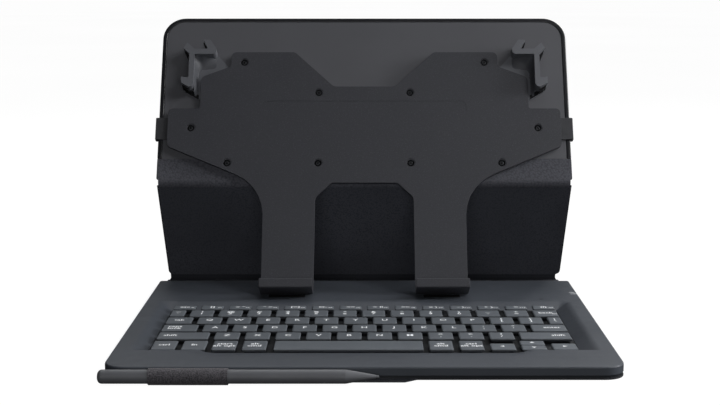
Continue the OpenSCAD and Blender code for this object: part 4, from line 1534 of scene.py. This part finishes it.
@dataclass
class KeyField:
    """All the keys in their rows, with what is printed on them."""

    cap_wall: float = 0.8
    corner_round: float = 1.5
    top_round: float = 0.4
    print_height: float = 0.03
    side_gap: float = 3.2
    line_gap: float = 1.25
    stroke: float = 0.1
    arrow_size: float = 1.6
    small_height: float = 1.7

    def build(self) -> None:
        """Makes each row of keys and prints it."""
        for node in [*LEGENDS, "space_bar", "arrow_keys"]:
            spans = loose_spans(node)
            self.caps(node, spans)
            if node in LEGENDS:
                self.legends(node, spans)
        self.arrows(loose_spans("arrow_keys"))

    def caps(self, node: str, spans: list[tuple[Vector, Vector]]) -> None:
        """The caps of one row, as one piece.

        Args:
            node: the row's CAD node.
            spans: the lowest and the highest corner of each cap.
        """
        caps = []
        for i, (low, high) in enumerate(spans):
            cap = Piece.box(f"{node}_cap_{i}", DECK, tuple(low), tuple(high))
            cap.bevel(lambda a, b: abs(a.z - b.z) > 1, self.corner_round, 4)
            cap.bevel(lambda a, b: min(a.z, b.z) > high.z - EPS, self.top_round, 3)
            caps.append(cap)
        row = caps[0].grow(*caps[1:])
        row.obj.name = f"{node}_caps"
        wall = self.cap_wall
        hollows = [
            Piece.box("hollow", DECK, (low.x + wall, low.y + wall, low.z - 1),
                      (high.x - wall, high.y - wall, high.z - wall))
            for low, high in spans
        ]
        row.cut(hollows[0].grow(*hollows[1:]))
        row.smooth(40).put(node, KEY_PLASTIC, "key_cap", node)
        # The upright sides of the caps take the dark copy of their plastic: painted shade.
        row.shade_sides(KEY_SIDE_SHADE, max(high.z for low, high in spans) - self.top_round * 0.8)

    def legends(self, node: str, spans: list[tuple[Vector, Vector]]) -> None:
        """The print of one row, as one piece.

        Args:
            node: the row's CAD node.
            spans: the lowest and the highest corner of each cap.
        """
        printed = []
        for legend, (low, high) in zip(LEGENDS[node], spans, strict=True):
            printed += self.print_legend(legend, low, high)
        row = printed[0].grow(*printed[1:])
        row.obj.name = f"{node}_print"
        row.put(node, LEGEND_INK, "key_cap")

    def print_legend(self, legend: Legend, low: Vector, high: Vector) -> list[Piece]:
        """The lines of one key's legend.

        Args:
            legend: what is printed.
            low: the cap's lowest corner.
            high: the cap's highest corner.

        Returns:
            The printed lines.
        """
        depth = high.y - low.y
        height = min(legend.height, 0.8 * depth / (self.line_gap * len(legend.lines)))
        across = {
            Side.LEFT: low.x + self.side_gap,
            Side.MIDDLE: (low.x + high.x) / 2,
            Side.RIGHT: high.x - self.side_gap,
        }[legend.side]
        pieces = []
        for i, line in enumerate(legend.lines):
            along = (low.y + high.y) / 2 + ((len(legend.lines) - 1) / 2 - i) * height * self.line_gap
            pieces.append(self.print_line(line, (across, along, high.z), height, legend.side))
        if legend.small:
            corner = (high.x - 0.9, low.y + 0.32 * depth, high.z)
            pieces.append(self.print_line(legend.small, corner, self.small_height, Side.RIGHT))
        return pieces

    def print_line(self, line: str, place: Triple, height: float, side: Side) -> Piece:
        """One line of print.

        Args:
            line: what it says.
            place: where its middle, left or right end is on the key.
            height: how tall its capitals are.
            side: which of its ends the place is.

        Returns:
            The print.
        """
        pick_none()
        bpy.ops.object.text_add(location=(place[0], place[1], place[2] + self.print_height))
        obj = bpy.context.object
        obj.data.body = line
        obj.data.align_x = side.value
        obj.data.align_y = "CENTER"
        obj.data.size = height / 0.7
        obj.data.resolution_u = 2
        obj.data.offset = self.stroke * height / 3.7
        bpy.ops.object.convert(target="MESH")
        bpy.ops.object.transform_apply(location=True, rotation=True, scale=True)
        return Piece(bpy.context.object, DECK)

    def arrows(self, spans: list[tuple[Vector, Vector]]) -> None:
        """The arrowheads on the four arrow keys.

        Args:
            spans: the lowest and the highest corner of each cap.
        """
        turns = (180, 270, 90, 0)
        heads = []
        for turn, (low, high) in zip(turns, spans, strict=True):
            middle = ((low.x + high.x) / 2, (low.y + high.y) / 2, high.z + self.print_height)
            pick_none()
            bpy.ops.mesh.primitive_circle_add(
                vertices=3, radius=self.arrow_size, fill_type="NGON", location=middle,
                rotation=(0, 0, math.radians(turn - 90)),
            )
            bpy.ops.object.transform_apply(location=True, rotation=True, scale=True)
            heads.append(Piece(bpy.context.object, DECK))
        printed = heads[0].grow(*heads[1:])
        printed.obj.name = "arrow_keys_print"
        printed.put("arrow_keys", LEGEND_INK, "key_cap")


# ---------------------------------------------------------------- the stylus and its loop


@dataclass
class Stylus:
    """The stylus in the loop at the front of the deck."""

    tail_round: float = 2.3
    tail_inset: float = 0.9
    loop_wall: float = 0.5
    loop_shift: float = 0.85
    nib_r: float = 0.7

    def build(self) -> None:
        """Makes the stylus and the felt loop."""
        low, high = span("stylus_cap")
        barrel_low, barrel_high = span("stylus_barrel")
        tip_low, tip_high = span("stylus_tip")
        radius = (barrel_high.z - barrel_low.z) / 2
        centre = ((barrel_high.y + barrel_low.y) / 2, (barrel_high.z + barrel_low.z) / 2)
        start = low.x + self.tail_inset
        corner = arc((start + self.tail_round, radius - self.tail_round), self.tail_round, 176, 90, 10)
        cap = Piece.rod("stylus_tail", DECK, [*corner, (high.x, radius)], centre)
        cap.smooth(35).put("stylus", STYLUS_PLASTIC, "stylus_body", "stylus_cap")
        barrel = Piece.rod("stylus_body", DECK, [(barrel_low.x, radius), (barrel_high.x, radius)], centre)
        barrel.smooth(35).put("stylus", STYLUS_PLASTIC, "stylus_body", "stylus_barrel")
        nib = self.nib_r
        neck = tip_high.x - 1.6
        tip = Piece.rod("stylus_cone", DECK, [
            (tip_low.x, radius), (neck, nib + 0.25), (neck + 0.05, nib), (tip_high.x - 0.5, nib),
            (tip_high.x - 0.15, nib * 0.8), (tip_high.x, nib * 0.35)], centre)
        tip.smooth(35).put("stylus", STYLUS_PLASTIC, "stylus_tip", "stylus_tip")
        self.loop()

    def loop(self) -> None:
        """The felt loop: a tube whose foot runs under the deck."""
        low, high = span("stylus_loop")
        outer = (high.z - low.z) / 2
        middle_y = low.y + outer
        middle_z = low.z + outer
        turns = [math.radians(a) for a in range(0, 271, 15)]
        tube = [Vector((0, middle_y + outer * math.cos(t), middle_z + outer * math.sin(t))) for t in turns]
        path = [*tube, Vector((0, high.y - 2, low.z)), Vector((0, high.y, low.z))]
        ends = [(low.x + self.loop_shift, high.x + self.loop_shift)] * len(path)
        felt = Piece.cloth("stylus_loop_felt", DECK, path, ends, self.loop_wall, 1)
        felt.put("keyboard_base", LOOP_FELT, "elastic", "stylus_loop")


# ---------------------------------------------------------------- the folding cover


@dataclass
class FoldingCover:
    """The spine, the flap and the panel that stand up behind the deck."""

    skin_round: float = 0.4
    cloth_t: float = 0.9
    cloth_half: float = 130.75
    cloth_shift: float = -0.85
    flare: float = 2.3
    flare_rise: float = 2.8
    fold_turn: float = 1.8
    crease_half: float = 133.5
    crease_t: float = 0.5
    crease_turn: float = 1.2
    rim_round: float = 0.8
    foot_height: float = 2.4

    def build(self) -> None:
        """Makes the cloth, the flap and the panel."""
        self.fold_cloth()
        self.crease_cloth()
        self.flap()
        self.panel()

    def fold_cloth(self) -> None:
        """The cloth from the deck round the fold and up to the flap.

        It is as wide as the case on the ground and draws in where it rises.
        """
        low = span("spine_strip")[0]
        fold = DECK.matrix.inverted() @ FOLD
        rise = direction(FLAP_TILT)
        reach = span("fold_band", FLAP)[1].y
        back = fold - Vector((0, self.fold_turn, 0))
        risen = fold + self.fold_turn * rise
        top = fold + (reach + 2) * rise
        start = Vector((0, low.y + EPS, fold.z))
        path = [
            *(start.lerp(back, i / 16) for i in range(16)),
            *bezier(back, fold + Vector((0, 0.3, 0)), risen, 8),
            *(risen.lerp(top, i / 6) for i in range(1, 7)),
        ]
        ends = []
        for at in path:
            risen_share = held((at.z - fold.z - 0.2) / self.flare_rise)
            half = self.cloth_half + self.flare * (1 - math.sqrt(1 - (1 - risen_share) ** 2))
            ends.append((self.cloth_shift - half, self.cloth_shift + half))
        cloth = Piece.cloth("fold_cloth", DECK, path, ends, self.cloth_t - 2 * EPS)
        obj = cloth.settle(COVER_CLOTH, "cover_fabric", "spine_strip", "fold_band")
        DECK.matrix @ back
        DECK.matrix @ risen
        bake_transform(obj)
        length = path_length(path)

    def crease_cloth(self) -> None:
        """The rough cloth on the panel's foot, which goes on over the crease and under the flap's lining."""
        crease = DECK.matrix.inverted() @ CREASE
        down, flap_out = -direction(FLAP_TILT), direction(FLAP_TILT + 90)
        up, panel_out = direction(PANEL_TILT), direction(PANEL_TILT + 90)
        high = span("rough_strip", PANEL)[1]
        height = high.z + EPS - self.crease_t / 2
        lining_low, lining = span("flap_lining", FLAP)
        flap_top = FLAP_L - lining.y
        flap_height = lining.z - self.crease_t / 2
        outward = (flap_out + panel_out).normalized()
        corner = crease + outward * height / math.cos(math.radians(FLAP_TILT - PANEL_TILT) / 2)
        head = crease + high.y * up + height * panel_out
        foot = crease + self.crease_turn * up + height * panel_out
        edge = crease + (flap_top + 0.1) * down + flap_height * flap_out
        tuck = crease + (flap_top + 0.5) * down + (lining_low.z - self.crease_t) * flap_out
        path = [*(head.lerp(foot, i / 8) for i in range(8)), *bezier(foot, corner, edge, 8), tuck]
        cloth = Piece.cloth("crease_cloth", DECK, path, [(-self.crease_half, self.crease_half)] * len(path),
                            self.crease_t)
        obj = cloth.settle(ROUGH_SKIN, "rough_skin", "crease_cord", "rough_strip")
        DECK.matrix @ foot
        DECK.matrix @ edge
        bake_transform(obj)
        path_length(path)

    def flap(self) -> None:
        """The stiff flap in its skin."""
        skin = Piece.of_node("flap_cover", FLAP, "flap_skin").soften(self.skin_round, 3, 30)
        skin.smooth(40).put("flap", SKIN, "skin", "flap_skin")
        lining = Piece.of_node("flap_face", FLAP, "flap_lining").soften(0.25, 2, 30)
        lining.smooth(40).put("flap", FLAP_LINING, "flap_lining", "flap_lining")
        dress(BOARD, "flap_board", "panel_board")

    def panel(self) -> None:
        """The stiff panel in its skin, its lining and its rim."""
        skin = Piece.of_node("panel_cover", PANEL, "panel_skin").soften(self.skin_round, 3, 30)
        skin.smooth(40).put("back_panel", SKIN, "skin", "panel_skin")
        foot = span("rough_strip", PANEL)[1].y
        rim = Piece.of_node("panel_rim_bead", PANEL, "panel_rim")
        low, high = span("panel_rim", PANEL)
        ends = rim.mirrored("panel_rim_foot")
        rim.cut(Piece.box("foot", PANEL, (low.x - 1, low.y - 1, low.z - 1), (high.x + 1, foot, high.z + 1)))
        rim.soften(self.rim_round, 4, 30).smooth(40).put("back_panel", RIM_RUBBER, "rim", "panel_rim")
        beyond = (high.x + 1, high.y + 1, high.z + 1)
        ends.cut(Piece.box("head", PANEL, (low.x - 1, foot, low.z - 1), beyond))
        for vertex in ends.obj.data.vertices:
            vertex.co.z = min(vertex.co.z, self.foot_height)
        ends.soften(0.3, 2, 30).smooth(40).put("back_panel", ROUGH_SKIN, "rough_skin")
        lining = Piece.of_node("panel_face", PANEL, "panel_lining").soften(0.15, 2, 30)
        lining.smooth(40).put("back_panel", PANEL_LINING, "panel_lining", "panel_lining")


# ---------------------------------------------------------------- the tablet carrier


@dataclass
class Carrier:
    """The moulded plate that carries the tablet, with its hooks, screws and grippers."""

    edge_round: float = 0.4
    gripper_round: float = 0.5
    gripper_corner: Pair = (111.9, 85.2)
    web_top: float = 4.15
    ramp_rise: float = 5.8
    ramp_runs: Pair = (8.0, 2.6)
    ramp_length: float = 26.6
    ramp_reach: float = 14.0
    ramp_narrowing: float = 11.2
    ramp_skew: float = 0.6
    ramp_steps: tuple[int, int] = (22, 20)
    taper_start: float = 4.0
    taper_run: float = 6.0
    end_run: float = 7.0
    side_run: float = 9.0
    # Outlines and heights of the black pads under each gripper, which are painted shade.
    shade_pad_outlines: tuple[tuple[Pair, ...], ...] = (
        ((-2.8, -28.6), (6.2, -23.2), (4.6, -20.4), (-2.8, -26.0)),
        ((3.3, -4.6), (7.2, 4.1), (3.3, 0.5)),
        ((-8.4, 3.6), (-7.0, 3.6), (-5.2, 9.4), (-5.8, 9.4), (-8.4, 4.6)),
        ((3.3, -21.6), (7.9, -19.7), (7.4, -22.0), (3.3, -24.6)),
    )
    shade_pad_tops: tuple[float, ...] = (0.2, 5.6, 5.6, 5.0)
    bore_r: float = 3.1
    bore_depth: float = 0.3
    head_r: float = 1.4
    head_drop: float = 0.4
    head_seat: float = 0.8
    shank_r: float = 1.1
    # The black disc under each screw head is painted shade in the recess.
    shade_disc_r: float = 2.3
    shade_disc_t: float = 0.1
    dome: float = 0.25
    socket_r: float = 0.72
    socket_depth: float = 0.6
    groove_y: float = 54.3
    groove_half: float = 67.0
    groove_r: float = 4.0
    groove_fall: float = 3.0
    groove_w: float = 0.35
    groove_depth: float = 0.12

    def build(self) -> None:
        """Makes the plate and what is fixed to it."""
        self.plate()
        self.screws()
        dress(CARRIER_PLASTIC, "carrier_backing")
        dress(NICKEL, "hook_magnets")
        bands = Piece.of_node("gripper_elastics", PANEL, "gripper_bands").soften(0.3, 2, 30)
        bands.smooth(40).put("back_panel", BAND, "rubber", "gripper_bands")
        for side in ("left", "right"):
            hook = Piece.of_node(f"{side}_hook", PANEL, f"{side}_foot_hook").soften(0.35, 2, 30)
            hook.smooth(40).put("back_panel", CARRIER_PLASTIC, "carrier", f"{side}_foot_hook")
            gripper = Piece.of_node(f"{side}_corner_gripper", PANEL, f"{side}_gripper")
            gripper.soften(self.gripper_round, 2, 30)
            gripper.smooth(40).put(f"{side}_gripper", GRIPPER_PLASTIC, "gripper", f"{side}_gripper")
            self.ramp(side)
            # Black pads under the gripper's hooks: painted shade.
            self.shade_pads(side)
            loop = Piece.of_node(f"{side}_elastic_loop", PANEL, f"{side}_edge_loop").soften(1.0, 4, 30)
            loop.smooth(40).put("back_panel", ELASTIC, "elastic", f"{side}_edge_loop")
        pads = Piece.of_node("hook_cushions", PANEL, "hook_pads").soften(0.15, 2, 30)
        pads.smooth(40).put("back_panel", RUBBER_AND_SHADE, "rubber", "hook_pads")

    def corner(self, side: str) -> Callable[[float, float, float], Vector]:
        """The inner corner of a gripper's bars: gives the point so far outward, upward and forward of it.

        Args:
            side: left or right.

        Returns:
            The function that gives the point.
        """
        out, up = self.gripper_corner
        turn = -1 if side == "left" else 1
        return lambda x, y, z: Vector((turn * (out + x), up + y, z))

    def ramp(self, side: str) -> None:
        """The hollow ramp that stiffens a gripper, from its web up to its two bars.

        Args:
            side: left or right.
        """
        place = self.corner(side)
        level = self.web_top
        widest, narrowest = self.ramp_runs

        def height(across: float, down: float, end: float) -> float:
            """The ramp's height over the web.

            Args:
                across: how far inward from the upright bar.
                down: how far below the upper bar.
                end: how far down the ramp reaches there.

            Returns:
                The height.
            """
            run = widest + (narrowest - widest) * held((down - self.taper_start) / self.taper_run)
            beside = max(0.0, 1 - across / run) ** 2 * held((end - down) / self.end_run)
            under = max(0.0, 1 - down / widest) ** 2 * held((self.ramp_reach - across) / self.side_run)
            return self.ramp_rise * (beside ** 4 + under ** 4) ** 0.25

        lengthwise, sideways = self.ramp_steps
        rows = []
        for i in range(lengthwise + 1):
            share = i / lengthwise
            reach = self.ramp_reach - self.ramp_narrowing * held((share - 0.2) / 0.3)
            top = []
            for j in range(sideways + 1):
                across = reach * j / sideways
                end = self.ramp_length + self.ramp_skew * across
                down = end * share
                top.append(place(-across, -down, level - 0.03 + height(across, down, end)))
            low = [Vector((p.x, p.y, level - 0.5)) for p in reversed(top)]
            rows.append([*top, *low, top[0]])
        ramp = Piece.lattice(f"{side}_gripper_ramp", PANEL, rows).close()
        # The ramp takes the darker copy of the gripper plastic: painted shade.
        ramp.smooth(30).put(f"{side}_gripper", SHADED_WEB_PLASTIC, "gripper")

    def shade_pads(self, side: str) -> None:
        """Black pads under a gripper's hooks and along its web's lower edge: painted shade, dark pieces set
        where the undersides lie in shadow.

        Args:
            side: left or right.
        """
        place = self.corner(side)
        level = self.web_top
        for i, (outline, top) in enumerate(zip(self.shade_pad_outlines, self.shade_pad_tops, strict=True)):
            points = [(at.x, at.y) for at in (place(x, y, 0) for x, y in outline)]
            # Each pad is a dark piece that paints the shade under the gripper.
            lip = Piece.plate(f"{side}_gripper_lip_{i}", PANEL, points, level - 0.6, level + top).close()
            lip.smooth(30).put(f"{side}_gripper", RUBBER_AND_SHADE, "rubber")

    def plate(self) -> None:
        """The plate, with a shallow round step about each screw and a faint embossed line."""
        high = span("carrier_shell", PANEL)[1]
        shell = Piece.of_node("carrier_plate", PANEL, "carrier_shell").soften(self.edge_round, 3, 30)
        levels = (high.z - self.bore_depth, high.z + 1)
        places = middles("carrier_screws", PANEL)
        bores = [Piece.disc("bore", PANEL, at, self.bore_r, levels) for at in places]
        shell.cut(bores[0].grow(*bores[1:]))
        reach, rise, fall = self.groove_half, self.groove_y, self.groove_fall
        turn, thin = self.groove_r, self.groove_w
        foot = rise - fall - turn
        outer = [(reach, foot, 0), (reach, rise, turn), (-reach, rise, turn), (-reach, foot, 0)]
        inner = [(-reach + thin, foot, 0), (-reach + thin, rise - thin, turn - thin),
                 (reach - thin, rise - thin, turn - thin), (reach - thin, foot, 0)]
        line = rounded(outer) + rounded(inner)
        shell.cut(Piece.plate("line", PANEL, line, high.z - self.groove_depth, high.z + 1))
        shell.smooth(40).put("back_panel", CARRIER_PLASTIC, "carrier", "carrier_shell")

    def screws(self) -> None:
        """The socket-head screws, each over a black disc in its recess that paints the shade in the gap
        round the head, with its shank below that.
        """
        low, high = span("carrier_screws", PANEL)
        seat = high.z - self.head_seat
        heads, shade_discs = [], []
        for at in middles("carrier_screws", PANEL):
            top = high.z - self.head_drop
            head = Piece.disc("head", PANEL, at, self.head_r, (seat, top))
            head.bevel(lambda a, b: min(a.z, b.z) > top - EPS, self.dome, 3)
            levels = (top - self.socket_depth, top + 1)
            head.cut(Piece.disc("socket", PANEL, at, self.socket_r, levels, 6))
            heads.append(head)
            under = seat - self.shade_disc_t
            heads.append(Piece.disc("shank", PANEL, at, self.shank_r, (low.z, under), 24))
            shade_discs.append(Piece.disc("floor", PANEL, at, self.shade_disc_r, (under, seat), 24))
        screws = heads[0].grow(*heads[1:])
        screws.obj.name = "carrier_screw_heads"
        screws.smooth(35).put("back_panel", SCREW_METAL, "screw_metal", "carrier_screws")
        # The black discs round the heads are painted shade.
        shade_wells = shade_discs[0].grow(*shade_discs[1:])
        shade_wells.obj.name = "screw_well_floors"
        shade_wells.smooth(35).put("back_panel", RUBBER_AND_SHADE, "carrier")


# ---------------------------------------------------------------- the studio


@dataclass(frozen=True)
class Softbox:
    """A rectangular lamp: where it is, what it points at, its width and height and its power in watts."""

    name: str
    place: Triple
    aim: Triple
    size: Pair
    power: float

    def hang(self) -> None:
        """Puts the lamp in the scene."""
        data = bpy.data.lights.new(self.name, "AREA")
        data.shape = "RECTANGLE"
        data.size, data.size_y = self.size
        data.energy = self.power
        obj = bpy.data.objects.new(self.name, data)
        bpy.context.scene.collection.objects.link(obj)
        obj.location = self.place
        way = Vector(self.aim) - Vector(self.place)
        obj.rotation_euler = way.to_track_quat("-Z", "Y").to_euler()


@dataclass
class Studio:
    """The pale floor, the soft lights and the camera."""

    camera_reach: float = 0.6584
    camera_height: float = 0.200924
    camera_pitch: float = 80.6254
    lens: float = 66.6
    shift: float = -0.00597
    wall_reach: float = 9.0
    wall_height: float = 12.0
    lights: list["Softbox"] = field(default_factory=lambda: [
        Softbox("overhead", (0.1, 0.45, 1.15), (0, -0.02, 0), (1.0, 0.6), 3.2),
        Softbox("key", (0.9, -0.4, 1.0), (0, 0, 0), (0.5, 0.5), 4.7),
        Softbox("right", (1.2, 0.0, 0.45), (0, -0.02, 0.02), (0.3, 0.5), 8.5),
        Softbox("rear", (0.0, 1.1, 0.9), (0, 0, 0.05), (1.2, 0.3), 2.6),
        Softbox("low", (0.0, -1.4, 0.35), (0, 0, 0.08), (1.2, 0.3), 3.4),
        Softbox("kicker", (0.7, 1.0, 0.8), (0.1, 0.1, 0.0), (0.2, 0.2), 2.0),
    ])

    def build(self) -> None:
        """Sets the scene around the object."""
        self.floor()
        for lamp in self.lights:
            lamp.hang()
        self.world()
        self.camera()

    def floor(self) -> None:
        """A round pale floor with a wall all round, which glows and lights nothing."""
        pick_none()
        bpy.ops.mesh.primitive_cylinder_add(
            vertices=96, radius=self.wall_reach, depth=self.wall_height,
            location=(0, 0, self.wall_height / 2 - EPS * MM),
        )
        obj = bpy.context.object
        obj.name = "studio_cove"
        bpy.ops.object.transform_apply(location=True, rotation=True, scale=True)
        op_mode("EDIT")
        bpy.ops.mesh.select_all(action="SELECT")
        bpy.ops.mesh.flip_normals()
        op_mode("OBJECT")
        recipe = Recipe("studio_cove")
        tone = recipe.blend((0.96, 0.96, 0.96), (1.0, 1.0, 1.0), recipe.noise(900, 2))
        recipe.finish(
            Base_Color=(0.08, 0.08, 0.08), Roughness=0.9, Specular_IOR_Level=0.0, Emission_Color=tone,
            Emission_Strength=1.0,
        )
        obj.data.materials.append(recipe.material)
        obj.visible_diffuse = False
        obj.visible_glossy = False
        obj.visible_shadow = False

    def world(self) -> None:
        """Soft light from all round."""
        world = bpy.data.worlds.new("studio_world")
        bpy.context.scene.world = world
        world.use_nodes = True
        background = world.node_tree.nodes["Background"]
        background.inputs["Color"].default_value = (1, 1, 1, 1)
        background.inputs["Strength"].default_value = 0.01
        bpy.context.scene.view_settings.view_transform = "Standard"

    def camera(self) -> None:
        """The camera, a little above the object and in front of it."""
        data = bpy.data.cameras.new("studio_camera")
        data.lens = self.lens
        data.sensor_width = 36
        data.shift_x = self.shift
        obj = bpy.data.objects.new("studio_camera", data)
        bpy.context.scene.collection.objects.link(obj)
        obj.location = (0, DECK_FRONT - self.camera_reach, self.camera_height)
        obj.rotation_euler = Euler((math.radians(self.camera_pitch), 0, 0))
        bpy.context.scene.camera = obj


def main() -> None:
    """Builds the case, part by part, and the studio around it."""
    logging.basicConfig(level=logging.INFO, format="%(message)s")
    pick_none()
    Studio().build()
    for part in (Deck(), KeyField(), Stylus(), FoldingCover(), Carrier()):
        LOG.info("building %s", type(part).__name__)
        part.build()


if __name__ == "__main__":
    main()
